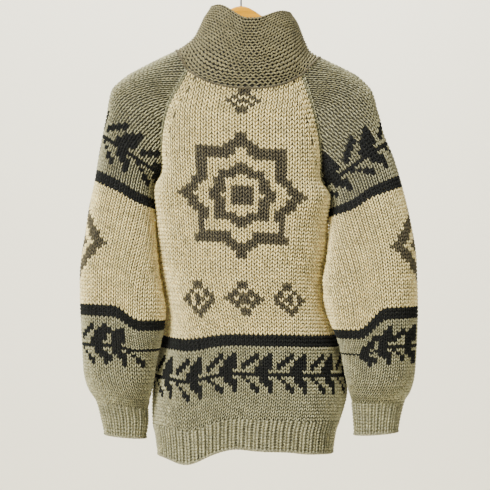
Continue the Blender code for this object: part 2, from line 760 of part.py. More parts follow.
def main():
    clear_scene()
    grey = finish("grey_wool", (0.27, 0.25, 0.17), 0.95)
    cream = finish("cream_wool", (0.62, 0.53, 0.35), 0.95)
    tape = finish("zip_tape", (0.16, 0.15, 0.12), 0.85)
    brass = finish("zip_metal", (0.42, 0.36, 0.24), 0.35, 1.0)
    beech = finish("beech", (0.62, 0.38, 0.11), 0.45)
    steel = finish("steel_wire", (0.45, 0.45, 0.46), 0.3, 1.0)

    back, left_front, right_front = back_grid(), front_grid(-1), front_grid(1)
    split = HEM_RIB_ROWS - 1
    left_top, right_top = (sleeve_ring(table[NECK]) for table in SLEEVES)
    round_neck = [left_front[-1][::-1], left_top[::-1], back[-1], right_top]
    neck = np.vstack([piece[:-1] for piece in round_neck] + [right_front[-1]])
    sheets = {
        sheet.name: sheet
        for sheet in (
            Sheet("back_panel", back[split:]),
            Sheet("back_hem_rib", back[: split + 1]),
            Sheet("front_left_panel", left_front[split:], flip=True),
            Sheet("front_left_hem_rib", left_front[: split + 1], flip=True),
            Sheet("front_right_panel", right_front[split:]),
            Sheet("front_right_hem_rib", right_front[: split + 1]),
            Sheet("collar", collar_grid(neck)),
        )
    }
    for table, word in zip(SLEEVES, ("left", "right")):
        for piece, (first, last) in SLEEVE_PARTS.items():
            name, grid = f"{piece}_{word}", sleeve_grid(table, first, last)
            sheets[name] = Sheet(name, grid, flip=word == "left", joined_rows=UNDERARM - first + 1)
    mitres = shared_normals(sheets.values())
    for name, sheet in sheets.items():
        if name.endswith("hem_rib"):
            rib_shell(sheet, mitres, HEM_RIBS_PER_COLUMN, grey)
        elif name.startswith("cuff"):
            rib_shell(sheet, mitres, CUFF_RIBS_PER_COLUMN, grey)
        elif name == "collar" or name.startswith("sleeve_band"):
            shell(sheet, mitres, grey)
        else:
            shell(sheet, mitres, cream)

    collar_inner = wall_grids(sheets["collar"], mitres)[1]
    for side, word in ((-1, "left"), (1, "right")):
        rib_inner = wall_grids(sheets[f"front_{word}_hem_rib"], mitres)[1]
        front_inner = wall_grids(sheets[f"front_{word}_panel"], mitres)[1]
        collar_side = collar_inner if side < 0 else collar_inner[:, ::-1]
        edge, beside = zip_lines(front_inner, rib_inner, collar_side)
        tape_wall(f"zip_tape_{word}", edge[TAPE_END_BANDS:], beside[TAPE_END_BANDS:], side, tape)
    placement = slider_placement(edge)
    make_slider(placement, brass)
    make_pull(placement, brass)
    make_box(edge, brass)
    make_hanger_wood(beech)
    make_hanger_hook(steel)


if __name__ == "__main__":
    main()
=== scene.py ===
"""A heavy hand-knit cardigan on a wooden hanger, knitted stitch by stitch.

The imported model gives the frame: metres, +Z up, the cardigan's back towards -Y and its zip
towards +Y, with the origin where the hanger's hook bears on its rail. Tables and helpers work in
millimetres, and meshes are scaled.

Every knitted piece starts as a cloth: rows of points from its lower end up, each running from
left to right as seen from outside. Its stitches are seeds on that cloth, which Geometry Nodes
grow into yarn. A thin wall under them closes the piece.
"""

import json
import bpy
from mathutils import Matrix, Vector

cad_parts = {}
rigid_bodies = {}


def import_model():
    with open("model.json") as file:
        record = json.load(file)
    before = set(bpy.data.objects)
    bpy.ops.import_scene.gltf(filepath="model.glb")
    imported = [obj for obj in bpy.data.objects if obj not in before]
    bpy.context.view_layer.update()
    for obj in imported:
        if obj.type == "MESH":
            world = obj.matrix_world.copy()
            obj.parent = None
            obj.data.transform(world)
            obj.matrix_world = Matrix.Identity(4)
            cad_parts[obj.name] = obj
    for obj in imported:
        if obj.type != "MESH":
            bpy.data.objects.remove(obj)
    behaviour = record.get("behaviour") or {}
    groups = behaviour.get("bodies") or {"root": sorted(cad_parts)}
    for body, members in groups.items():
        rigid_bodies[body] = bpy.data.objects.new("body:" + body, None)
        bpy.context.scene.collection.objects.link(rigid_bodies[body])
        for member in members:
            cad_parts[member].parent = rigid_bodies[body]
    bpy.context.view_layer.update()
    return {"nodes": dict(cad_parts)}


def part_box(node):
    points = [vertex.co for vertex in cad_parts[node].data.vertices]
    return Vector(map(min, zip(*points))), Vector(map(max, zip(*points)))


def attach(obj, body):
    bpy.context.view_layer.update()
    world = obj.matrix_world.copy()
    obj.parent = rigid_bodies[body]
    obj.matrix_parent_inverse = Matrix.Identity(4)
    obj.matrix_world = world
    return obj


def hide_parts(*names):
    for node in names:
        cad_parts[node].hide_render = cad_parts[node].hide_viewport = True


bl_info = {
    "name": "Hand-knit Cardigan",
    "version": (1, 0, 0),
    "blender": (4, 5, 0),
    "location": "3D View > Sidebar > Cardigan",
    "description": "Knits a cardigan stitch by stitch round its fixed frame",
    "category": "Add Mesh",
}

from collections import namedtuple
from functools import partial
from math import ceil, cos, pi, radians, sin, sqrt

import bmesh
import bpy
import numpy as np
from mathutils import Matrix, Vector

for leftover in list(bpy.data.objects):
    bpy.data.objects.remove(leftover, do_unlink=True)
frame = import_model()

MM = 0.001


def table(kind, *rows):
    return [kind(*row) for row in rows]


# The cloth's shape in millimetres. It is the frame's, except that the rows at the sleeves' upper
# stripes step down less.

WALL = 5.0
SEAM_GAP = 0.3
DENSE = 241  # points of a row

Section = namedtuple(
    "Section", "outer_x outer_z inner_x inner_z half_depth seam_turn ridge shift sway"
)
LEFT_SLEEVE = table(
    Section,
    (-216, -743, -152, -749, 26, 0, 0, -12, 0),
    (-221, -720, -148, -723, 27, 0, 0, -15, 0),
    (-228, -692, -148, -703, 30, 0, 0, -19, 0),
    (-240, -671, -144, -684, 39, 0, 1, -25, 0.3),
    (-247, -646, -138, -656, 46, 0, 2, -31, 0.6),
    (-249, -611, -131, -617, 50, 0, 3, -34, 0.9),
    (-252, -553, -122, -577, 52, 0, 4, -36, 0.9),
    (-253, -520, -119, -546, 53, 0, 4, -36, 0.9),
    (-253, -486, -125, -512, 53, 0, 4, -35, 0.9),
    (-250, -455, -130, -482, 52, 0, 4, -33, 0.8),
    (-245, -423, -133, -452, 51, 0, 4, -28, 0.6),
    (-240, -384, -136, -419, 50, 0, 3, -21, 0.2),
    (-232, -342, -138, -387, 49, 0, 2, -11, 0.1),
    (-226, -299, -136, -352, 48, 0, 1, 0, 0.05),
    (-219, -262, -124, -327, 47, 28, 0, 0, 0),
    (-213, -232, -124, -295, 46, 42, 0, 0, 0),
    (-210, -211, -123, -268, 46, 52, 0, 0, 0),
    (-205, -195, -120, -246, 45, 60, 0, 0, 0),
    (-195, -184, -115, -227, 45, 67, 0, 0, 0),
    (-178, -171, -109, -212, 44, 73, 0, 0, 0),
    (-150, -156, -101, -198, 44, 79, 0, 0, 0),
    (-126, -144, -93, -183, 43, 85, 0, 0, 0),
    (-103, -133, -85, -167, 42, 90, 0, 0, 0),
)
RIGHT_SLEEVE = table(
    Section,
    (249, -739, 181, -744, 26, 0, 0, -12, 0),
    (253, -714, 179, -716, 27, 0, 0, -15, 0),
    (259, -690, 176, -693, 30, 0, 0, -19, 0),
    (267, -675, 172, -676, 39, 0, 1, -25, 0.3),
    (273, -652, 166, -654, 46, 0, 2, -31, 0.6),
    (276, -614, 160, -622, 50, 0, 3, -34, 0.9),
    (278, -557, 152, -590, 52, 0, 4, -36, 0.9),
    (278, -524, 140, -562, 53, 0, 4, -36, 0.9),
    (277, -492, 132, -533, 53, 0, 4, -35, 0.9),
    (276, -461, 130, -500, 52, 0, 4, -33, 0.8),
    (272, -430, 135, -469, 51, 0, 4, -28, 0.7),
    (265, -392, 139, -435, 50, 0, 3, -21, 0.35),
    (256, -351, 141, -399, 49, 0, 2, -11, 0.2),
    (243, -304, 141, -366, 48, 0, 1, 0, 0.1),
    (228, -268, 126, -340, 47, 28, 0, 0, 0),
    (222, -244, 125, -309, 46, 42, 0, 0, 0),
    (217, -227, 123, -281, 46, 52, 0, 0, 0),
    (213, -211, 120, -257, 45, 60, 0, 0, 0),
    (206, -194, 115, -235, 45, 67, 0, 0, 0),
    (187, -175, 111, -219, 44, 73, 0, 0, 0),
    (162, -161, 107, -205, 44, 79, 0, 0, 0),
    (143, -152, 102, -190, 43, 85, 0, 0, 0),
    (126, -144, 97, -174, 42, 90, 0, 0, 0),
)
SLEEVES = {"left": LEFT_SLEEVE, "right": RIGHT_SLEEVE}
CUFF_TOP = 2
LOWER_STRIPE = 6
UPPER_STRIPE = 12
UNDERARM = 13
NECK = len(LEFT_SLEEVE) - 1
RIDGE_WIDTH = 0.30
SWAY_STEP = (0.40, 0.74)  # shares of the sleeve's width between which its rows step down

YokeRow = namedtuple("YokeRow", "back_y front_y sweep fullness back_drop front_drop")
YOKE = table(
    YokeRow,
    (-88, 88, 90, 0.55, 3, 0),
    (-88, 88, 82, 0.60, 4, 3),
    (-88, 88, 75, 0.66, 6, 8),
    (-88, 88, 69, 0.72, 8, 13),
    (-87, 88, 64, 0.78, 11, 19),
    (-86, 87, 60, 0.82, 14, 25),
    (-85, 86, 57, 0.85, 18, 31),
    (-83, 85, 54, 0.88, 22, 37),
    (-80, 83, 51, 0.90, 26, 42),
    (-77, 80, 48, 0.92, 29, 46),
)

BodyRow = namedtuple(
    "BodyRow",
    "left_x left_z right_x right_z back_y front_y side_y back_fullness front_fullness drop",
)
BODY = table(
    BodyRow,
    (-135.5, -392, 138, -406, -89, 89, 14, 0.64, 0.52, 1),
    (-135, -432, 138, -445, -90, 90, 20, 0.72, 0.50, 0),
    (-131, -484, 133, -496, -91, 90, 25, 0.78, 0.50, -2),
    (-123.5, -536, 137, -542, -92, 90, 28, 0.80, 0.50, -4),
    (-124, -573, 147, -573, -93, 90, 28, 0.80, 0.50, -5),
    (-131, -605, 158, -604, -94, 90, 28, 0.80, 0.50, -6),
    (-137, -643, 166, -641, -94, 90, 26, 0.78, 0.50, -7),
    (-140, -685, 168, -682, -94, 89, 20, 0.70, 0.50, -9),
    (-139, -727, 157, -721, -93, 88, 14, 0.60, 0.52, -10),
    (-135, -745, 150, -740, -92, 87, 10, 0.55, 0.52, -11),
    (-131, -774, 145, -771, -92, 87, 8, 0.52, 0.52, -11),
)
RIB_TOP = 2
YOKE_START = len(BODY)
BODY_TOP = len(BODY) + len(YOKE) - 1
LEANING_START = YOKE_START - 0.2  # where the columns that lean along the raglan seams begin
SIDE_SEAM_TOP = YOKE_START - 0.6

Fold = namedtuple("Fold", "x half_width out dip start_z")
FOLD_GROWTH = 1.3
BACK_FOLDS = table(
    Fold,
    (-84, 34, 7, 17, -430),
    (-8, 26, -4, -4, -480),
    (48, 20, 3, 0, -520),
    (104, 24, 4, 2, -470),
)
FRONT_FOLDS = table(
    Fold,
    (-78, 26, 5, 5, -420),
    (92, 30, 6, 9, -450),
)

ZIP_X = 8.0
OPENING_HALF = 5.5

CollarRow = namedtuple("CollarRow", "left_x left_z right_x right_z back_y back_z front_y front_z rise")
COLLAR = table(
    CollarRow,
    (-88, -123, 110, -133, -76, -182, 78, -208, 0.1),
    (-75, -111, 102, -117, -72, -165, 73, -190, 0.3),
    (-67, -96, 96, -101, -67, -145, 67, -168, 0.5),
    (-60, -81, 90, -87, -61, -120, 60, -141, 0.75),
    (-52, -69, 83, -77, -56, -99, 54, -116, 0.95),
    (-48, -62, 80, -72, -54, -86, 51, -97, 1.0),
)
BACK_RISE_POWER = 4.8
FRONT_RISE_POWER = 1.6
EDGE_RISE = (0.08, 0.85)

# The knitting, in millimetres. A zone is a run of rows in one yarn; its height is one row's, or
# else its rows are spread evenly up to a row of the table.

YARNS = ("cream", "taupe", "shoulder", "charcoal", "brown", "selvedge", "collar", "edge")
Zone = namedtuple("Zone", "yarn rows height to_row")
SLEEVE_ROW = 5.9  # height of a row in a sleeve's middle
BODY_ZONES = [
    Zone("taupe", 22, 5.15, None),
    Zone("charcoal", 3, 5.9, None),
    Zone("cream", None, 5.88, BODY_TOP),
]
SLEEVE_ZONES = [
    Zone("taupe", 27, None, LOWER_STRIPE),
    Zone("charcoal", 3, SLEEVE_ROW, None),
    Zone("cream", 33, None, UPPER_STRIPE),
    Zone("charcoal", 3, 6.6, None),
    Zone("shoulder", None, 6.5, NECK),
]
# Width of a stitch at rows of the table
BODY_PITCH = ((0, 2, 4, 5, 7, 10, 13, 20), (6.9, 6.9, 6.9, 7.0, 7.8, 8.5, 9.0, 9.2))
SLEEVE_PITCH = ((0, 2, 6, 12, 14, 16, 22), (7.2, 7.3, 7.9, 8.9, 9.3, 10.4, 11.2))
# How far the caps' wales have moved away from the top line, towards the seams
CAP_LEAN = ((13.5, 14, 15, 16, 17, 18, 19, 20, 21, 22), (0, 1.5, 8, 17, 26, 35, 45, 58, 69, 80))

LINE_SPACE = 0.05  # of a wale, kept free beside the one on the top line

LEAF_BAND = (
    "...#..#.",
    "..##.##.",
    ".##.###.",
    "##..###.",
    "#..####.",
    "...###..",
    "########",
    "#...##..",
    ".#..###.",
    "..#..##.",
    "..##..#.",
    "...#..#.",
)
STEM_ROW = 5  # from the bottom
# Columns of the leaf band for the wales of the band above each cuff, from the numbered wale on
CUFF_LEAVES = {
    "left": (0, "670123456" "2456" "abcd" "--------"),
    "right": (-24, "--------" "4562" "456012" "456670"),
}
PLAIN_ROWS = 2  # between the leaf band and the stripe beside it

STAR_ROW, STAR_RADIUS = 61.5, 100.0  # rows above the rib, millimetres
STAR_RINGS = (0.20, 0.36, 0.56, 0.78, 1.0)  # shares of the radius at which the yarn changes
SMALL_DIAMONDS = ((-72, 34.5, 28), (0, 34.5, 28), (72, 34.5, 28), (0, 86.5, 24))  # x, row, radius
DIAMOND_RING = (0.36, 0.62)  # shares of a diamond's radius between which it is cream
SLEEVE_DIAMOND_ROW, SLEEVE_DIAMOND = 46.5, 66.0
CAP_PLAIN_ROWS = 3
LEAF_SHIFT = {"body": 2, "left": 6, "right": 3}  # wales that a piece's leaves are moved back by

HEM_RIBS = {"back": 34, "front": 17}
CUFF_RIBS = 20
HEM_STITCH_ROWS = 11
CUFF_STITCH_ROWS = 10
RIB_STEPS = 4  # columns of the wall to a rib

COLLAR_LINES = 25
COLLAR_WAVES = 69  # in each line
COLLAR_SWING, COLLAR_YARN = 0.28, 0.48  # swing and thickness of a line, as shares of their spacing
COLLAR_BULGE, COLLAR_SINK = 0.45, 0.7
COLLAR_SWELL = 0.16  # how much thicker a line is at its turns
COLLAR_INSET = 1.5  # from the front edges to the lines' ends
COLLAR_STEPS = 8  # points to a wave
COLLAR_DRIFTS, COLLAR_DRIFT, COLLAR_PULL = 40, 1.0, 0.15  # places where waves drift, and how much

# Columns of the walls under the stitches
BACK_COLUMNS = 46
FRONT_COLUMNS = 24
SLEEVE_COLUMNS = 48

EDGE_SPACE = 2.4  # from a piece's edge to its last wale's middle
UNDER_STITCHES = 1.5  # how far the wall's outside lies in from the frame's
# Painted shade: the share of the yarn's colour that the wall's outside keeps, between the stitches
STITCH_SHADOW, RIB_SHADOW, COLLAR_SHADOW = 0.12, 0.85, 0.05
BESIDE = 2.0  # how far to each side a stitch's facing is measured
STITCH_SIDES = 4  # of a leg of yarn
LEANING = (8.4, 17.0)  # from a raglan seam to the columns that lean along it
LEANING_WIDTH = 8.8
LEANING_SPACE = 3.8  # from the last of them to the first of the yoke's own wales
NECK_SEAM_WIDTH = 4.6
SEAM_STITCH, SEAM_SINK = 6.0, -0.5  # length and depth of a seam's stitches
RAGLAN_WIDTH, SIDE_WIDTH = 8.0, 10.5
# Where a seam's facing is measured: in from the edge, and up and down in rows of the table
SEAM_INSIDE, SEAM_REACH = 4.0, 0.2
EDGE_SAMPLES = 120  # places at which an edge's length is measured

RIB_WIDTH = 0.98  # of the ribs' spacing
RIB_SINK, VALLEY_SINK = 0.9, 0.3  # of a rib's stitches and the loops between them
VALLEY_WIDTH = 0.58
RIB_WALL = (-0.2, 0.1)  # of the wall, in a valley and on a rib
CHAIN_LINK = 5.2  # length of a stitch in the chains round the hem, the cuffs and the neck
CHAIN_WIDTH = 1.2  # of those of the hem and cuffs, in thicknesses of the yarn
CHAIN_FACING = 0.4  # of a row of the table, up to which their facing is measured

TOOTH = (3.4, 1.7, 2.2)
TOOTH_FROM_MIDDLE = 0.95
TOOTH_ROWS = (("left", -1, 0.25), ("right", 1, 0.75))  # tape, side and shift in pitches
CHAIN_HALF = 1.6  # half the space between the tapes
SAME_PLACE = 0.02  # how near to a tape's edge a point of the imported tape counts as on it

FLOOR_Z, WALL_Y = -2.0, 4.5
SLABS = (
    # name, size, place, tilt
    ("studio_floor", (14, 14), (0, 0, FLOOR_Z), 0),
    ("studio_wall", (14, 10), (0, WALL_Y, FLOOR_Z + 5), pi / 2),
)
CAMERA_X, CAMERA_Z = 0.0064, -0.4432
SENSOR = 36.0  # millimetres
FILL_COLOUR = (1.0, 0.985, 0.965, 1)
LIGHTS = (
    # name, power, size, place, target
    ("key_light", 198, 1.2, (-1.9, -2.4, 1.4), (0, 0, -0.45)),
    ("side_light", 19, 2.2, (2.4, -2.2, 0.6), (0, 0, -0.45)),
    ("wall_light", 300, 3.0, (0, 1.6, 2.6), (0, 4.5, -0.3)),
    ("front_light", 56, 2.6, (0.6, 3.2, 1.4), (0, 0, -0.45)),
)


# Shape of the cloth

def smooth_step(value, low, high):
    t = np.clip((value - low) / (high - low), 0, 1)
    return t * t * (3 - 2 * t)


def sleeve_ring(section):
    """One section of a sleeve, from the back seam over the outer side to the front seam."""
    turn = radians(section.seam_turn)
    inner = np.array([section.inner_x, 0.0, section.inner_z])
    outer = np.array([section.outer_x, 0.0, section.outer_z])
    centre = (inner + outer * cos(turn)) / (1 + cos(turn))
    angles = np.linspace(turn, 2 * pi - turn, DENSE)
    depth = -section.half_depth * np.sin(angles)
    depth += np.sign(depth) * section.ridge * np.exp(-((np.cos(angles) / RIDGE_WIDTH) ** 2))
    ring = centre - np.outer(np.cos(angles), outer - centre) + np.outer(depth, (0, 1, 0))
    share = (ring[:, 0] - outer[0]) / (inner[0] - outer[0])
    step = smooth_step(share, *SWAY_STEP) - share
    ring[:, 2] += section.sway * (inner[2] - outer[2]) * step
    ring[:, 1] += section.shift
    return ring


def seam_point(table, row, is_back):
    return sleeve_ring(table[row])[0 if is_back else -1]


def fold_row(points, across, folds, hem_z, out_sign):
    """Pushes a row out or in, and down or up, where each fold passes it, but not at its ends."""
    inside = 1 - across**8
    for fold in folds:
        grown = np.clip((fold.start_z - points[:, 2]) / (fold.start_z - hem_z), 0, 1) ** FOLD_GROWTH
        near = grown * inside * np.exp(-(((points[:, 0] - fold.x) / fold.half_width) ** 2))
        points[:, 1] += out_sign * fold.out * near
        points[:, 2] -= fold.dip * near
    return points


def body_curve(left, right, centre_y, sweep, fullness, drop, folds):
    """A row of the body from its left edge to its right one, bowed to centre_y."""
    angles = np.linspace(-radians(sweep), radians(sweep), DENSE)
    across = np.sin(angles) / sin(radians(sweep))
    level = cos(radians(sweep))
    bow = np.clip((np.cos(angles) - level) / (1 - level), 0, 1) ** fullness
    points = (left + right) / 2 + np.outer(across, (right - left) / 2)
    points[:, 1] += (centre_y - left[1]) * bow
    points[:, 2] -= drop * (1 - np.abs(across) ** 2.5)
    return fold_row(points, across, folds, BODY[-1].left_z, np.sign(centre_y))


def lengths(curve):
    return np.concatenate([[0], np.cumsum(np.linalg.norm(np.diff(curve, axis=0), axis=1))])


def read_at(curve, measure, wanted):
    """The curve's points where its measure has the wanted values."""
    return np.stack([np.interp(wanted, measure, curve[:, axis]) for axis in range(3)], axis=1)


def evenly(curve, count=DENSE):
    measure = lengths(curve)
    return read_at(curve, measure, np.linspace(0, measure[-1], count))


def body_curves(is_back):
    curves = []
    folds = BACK_FOLDS if is_back else FRONT_FOLDS
    for row in reversed(BODY):
        left = np.array([row.left_x, row.side_y, row.left_z])
        right = np.array([row.right_x, row.side_y, row.right_z])
        centre_y = row.back_y if is_back else row.front_y
        fullness = row.back_fullness if is_back else row.front_fullness
        curves.append(body_curve(left, right, centre_y, 90, fullness, row.drop, folds))
    for index, row in enumerate(YOKE):
        left, right = (seam_point(table, UNDERARM + index, is_back) for table in SLEEVES.values())
        centre_y, drop = (row.back_y, row.back_drop) if is_back else (row.front_y, row.front_drop)
        curves.append(body_curve(left, right, centre_y, row.sweep, row.fullness, drop, folds))
    return curves


def front_curves(word):
    """A front's rows, left to right as seen from the front: the right front's run to the zip."""
    side = -1 if word == "left" else 1
    rows = []
    for curve in body_curves(False):
        x = ZIP_X + side * OPENING_HALF
        edge = np.array([x, *(np.interp(x, curve[:, 0], curve[:, axis]) for axis in (1, 2))])
        kept = curve[(curve[:, 0] - x) * side > 0][::-1]
        rows.append(evenly(np.vstack([kept, edge] if side > 0 else [edge, kept])))
    return np.array(rows)


def sleeve_curves(word):
    rings = np.array([sleeve_ring(section) for section in SLEEVES[word]])
    return rings[:, ::-1] if word == "left" else rings


def neck_curve():
    """The collar's seam, from the left front edge round the back to the right one."""
    left_front, right_front = front_curves("left")[-1], front_curves("right")[-1]
    left_top, right_top = (sleeve_ring(table[NECK]) for table in SLEEVES.values())
    back = body_curves(True)[-1]
    parts = (left_front, left_top[::-1], back, right_top, right_front)
    return evenly(np.vstack([part[:-1] for part in parts] + [right_front[-1:]]), 4 * DENSE)


def collar_curves():
    neck = neck_curve()
    x = neck[:, 0]
    turn = np.arcsin(np.clip(2 * (x - x.min()) / (x.max() - x.min()) - 1, -1, 1))
    places = np.arange(len(x))
    angles = np.where(places >= x.argmax(), pi - turn, turn)
    angles = np.where(places <= x.argmin(), -pi - turn, angles)
    rows = [neck]
    for row in COLLAR:
        middle, half = (row.left_x + row.right_x) / 2, (row.right_x - row.left_x) / 2
        first = -pi - np.arcsin((ZIP_X - OPENING_HALF - middle) / half)
        last = pi - np.arcsin((ZIP_X + OPENING_HALF - middle) / half)
        from_seam = (angles[0], -pi / 2, pi / 2, angles[-1])
        turned = np.interp(angles, from_seam, (first, -pi / 2, pi / 2, last))
        share = np.abs(np.sin(turned))
        back = np.cos(turned) > 0
        seam_rise = share ** np.where(back, BACK_RISE_POWER, FRONT_RISE_POWER)
        rise = (1 - row.rise) * seam_rise + row.rise * smooth_step(share, *EDGE_RISE)
        side_z = np.where(np.sin(turned) < 0, row.left_z, row.right_z)
        low_z = np.where(back, row.back_z, row.front_z)
        depth = np.where(back, row.back_y, -row.front_y) * np.cos(turned)
        height = low_z + (side_z - low_z) * rise
        rows.append(np.stack([middle + half * np.sin(turned), depth, height], axis=1))
    return np.array(rows)


def unit(vectors):
    return vectors / np.maximum(np.linalg.norm(vectors, axis=-1, keepdims=True), 1e-9)


class Cloth:
    """A knitted piece's surface. zero is the place across, from 0 to 1, that wales count from, and
    lean is how far they have moved away from it on both sides, by row of the table."""

    def __init__(self, curves, zero, pitch, lean=((0, 1), (0, 0))):
        self.curves, self.zero = np.asarray(curves), zero
        self.pitch_table, self.lean = pitch, lean

    def row(self, place):
        """The row at a fractional place, on a smooth curve through the table's rows, and its
        points' distances from the zero line."""
        rows = self.curves
        index = min(int(place), len(rows) - 2)
        t = place - index
        before, near, far, after = (
            rows[min(max(index + step, 0), len(rows) - 1)] for step in (-1, 0, 1, 2)
        )
        points = near + 0.5 * t * (far - before)
        points = points + t * t * (before - 2.5 * near + 2 * far - 0.5 * after)
        points = points + 0.5 * t**3 * (3 * near - before - 3 * far + after)
        measure = lengths(points)
        return points, measure - measure[round(self.zero * (len(points) - 1))]

    def pitch(self, place):
        return float(np.interp(place, *self.pitch_table))

    def wales_at(self, place, offsets):
        moved = np.where(offsets < 0, -1, 1) * np.interp(place, *self.lean)
        return np.floor((offsets - moved) / self.pitch(place)).astype(int)

    def read(self, place, distances):
        """Points of a row at these distances from the zero line."""
        points, measure = self.row(place)
        return read_at(points, measure, np.clip(distances, measure[0], measure[-1]))

    def grid(self, places, columns):
        return np.array([evenly(self.row(place)[0], columns + 1) for place in places])

    def up_line(self, samples_per_row=16):
        """Places along the middle of the piece and the lengths up to them."""
        count = (len(self.curves) - 1) * samples_per_row
        places = np.linspace(0, len(self.curves) - 1, count + 1)
        column = round(self.zero * (self.curves.shape[1] - 1))
        return places, lengths(np.array([self.row(place)[0][column] for place in places]))


def knit_rows(cloth, zones, first_row):
    """Places of the boundaries between knitted rows, and each row's yarn."""
    places, measure = cloth.up_line()

    def length_at(place):
        return float(np.interp(place, places, measure))

    at, bounds, yarns = length_at(first_row), [], []
    for zone in zones:
        rows = zone.rows or round((length_at(zone.to_row) - at) / zone.height)
        end = at + rows * zone.height if zone.to_row is None else length_at(zone.to_row)
        bounds += list(np.linspace(at, end, rows + 1)[:-1])
        yarns += [zone.yarn] * rows
        at = end
    return np.interp(bounds + [at], measure, places), yarns


def rows_in(zones):
    return sum(zone.rows for zone in zones)


def even_rows(cloth, first, last, count):
    places, measure = cloth.up_line()
    low, high = np.interp((first, last), places, measure)
    return np.interp(np.linspace(low, high, count + 1), measure, places)


# Patterns: which yarn a stitch is knitted in

def leaf_yarn(row, wale, start):
    """The leaf band, whose lowest row is start."""
    return LEAF_BAND[len(LEAF_BAND) - 1 - (row - start)][wale % len(LEAF_BAND[0])] == "#"


def lower_leaf_yarn(row, wale, start, word):
    """The band above a cuff, whose leaves stand closer where the sleeve is full, and whose stem
    goes on alone towards the underarm."""
    first, columns = CUFF_LEAVES[word]
    if not first <= wale < first + len(columns):
        return leaf_yarn(row, wale, start)
    column = columns[wale - first]
    if column in "abcd":  # the chart's first columns, from the stem down
        return row - start <= STEM_ROW and leaf_yarn(row, "abcd".index(column), start)
    return row - start == STEM_ROW if column == "-" else leaf_yarn(row, int(column), start)


def diamond(x, z, radius):
    """A diamond with a cream ring and a filled middle."""
    level = (abs(x) + abs(z)) / radius
    return level <= DIAMOND_RING[0] or DIAMOND_RING[1] < level <= 1.0


def star(x, z):
    """An eight-pointed star, as nested outlines."""
    level = min(max(abs(x), abs(z)) * sqrt(2), abs(x) + abs(z)) / STAR_RADIUS
    return level <= 1 and int(np.searchsorted(STAR_RINGS, level)) % 2 == 0


def back_yarn(row, wale, x, yarn):
    if yarn == "cream":
        height, level = BODY_ZONES[-1].height, row + 0.5
        shapes = [diamond(x - at, (level - up) * height, radius) for at, up, radius in SMALL_DIAMONDS]
        return "brown" if any(shapes) or star(x, (level - STAR_ROW) * height) else yarn
    return front_yarn(row, wale, x, yarn)


def front_yarn(row, wale, x, yarn):
    low = BODY_ZONES[0].rows - PLAIN_ROWS - len(LEAF_BAND)
    in_band = yarn == "taupe" and low <= row < low + len(LEAF_BAND)
    return "charcoal" if in_band and leaf_yarn(row, wale + LEAF_SHIFT["body"], low) else yarn


def sleeve_yarn_for(word):
    """Chooses a sleeve's yarn."""
    low = SLEEVE_ZONES[0].rows - PLAIN_ROWS - len(LEAF_BAND)
    high = rows_in(SLEEVE_ZONES[:4]) + CAP_PLAIN_ROWS

    def choose(row, wale, x, yarn):
        if low <= row < low + len(LEAF_BAND) and lower_leaf_yarn(row, wale, low, word):
            return "charcoal"
        if high <= row < high + len(LEAF_BAND) and leaf_yarn(row, wale + LEAF_SHIFT[word], high):
            return "charcoal"
        height = (row + 0.5 - SLEEVE_DIAMOND_ROW) * SLEEVE_ROW
        return "brown" if yarn == "cream" and diamond(x, height, SLEEVE_DIAMOND) else yarn

    return choose


# Seeds: where each stitch sits, and how it is turned

def write_points(mesh, label, kind, values):
    """Gives a mesh's points an attribute."""
    layer = mesh.attributes.new(label, kind, "POINT")
    key = {"FLOAT": "value", "FLOAT_VECTOR": "vector", "FLOAT_COLOR": "color"}[kind]
    layer.data.foreach_set(key, np.asarray(values).astype(np.float32).ravel())


def write_yarn(mesh, shade):
    write_points(mesh, "yarn", "FLOAT_COLOR", np.hstack([shade, np.ones((len(shade), 1))]))


class Seeds:
    """Points for stitches in millimetres, with the vectors that turn them, their sizes and their
    yarns."""

    def __init__(self):
        self.values = [[] for _ in range(5)]

    def add(self, centre, up, facing, size, yarn):
        for kept, added in zip(self.values, (centre, up, facing, size, yarn)):
            kept += list(added)

    def mesh(self, colours, unevenness, seed):
        """A mesh of loose points in metres, with the seeds' attributes."""
        rng = np.random.default_rng(seed)
        centre, up, facing, size, yarn = self.values
        mesh = bpy.data.meshes.new("seeds")
        mesh.vertices.add(len(centre))
        mesh.vertices.foreach_set("co", (np.array(centre) * MM).astype(np.float32).ravel())
        for label, values in (("up", up), ("facing", facing), ("size", np.array(size) * MM)):
            write_points(mesh, label, "FLOAT_VECTOR", values)
        tones = 1 + unevenness * rng.normal(size=(len(centre), 1)).clip(-2, 2)
        write_yarn(mesh, np.array([colours[label] for label in yarn]) * tones)
        return mesh


def thickness_of(knit):
    return knit.thickness / MM


def beside_at(cloth, place, offsets):
    """Which way the row runs at these offsets."""
    return cloth.read(place, offsets + BESIDE) - cloth.read(place, offsets - BESIDE)


def column_seeds(cloth, low, high, offsets_low, offsets_middle, offsets_high, sink):
    """Centres, ups and facings of the stitches of one row, whose columns pass these offsets."""
    middle = (low + high) / 2
    centre = cloth.read(middle, offsets_middle)
    up = cloth.read(high, offsets_high) - cloth.read(low, offsets_low)
    facing = unit(np.cross(beside_at(cloth, middle, offsets_middle), up))
    return centre - sink * facing, up, facing


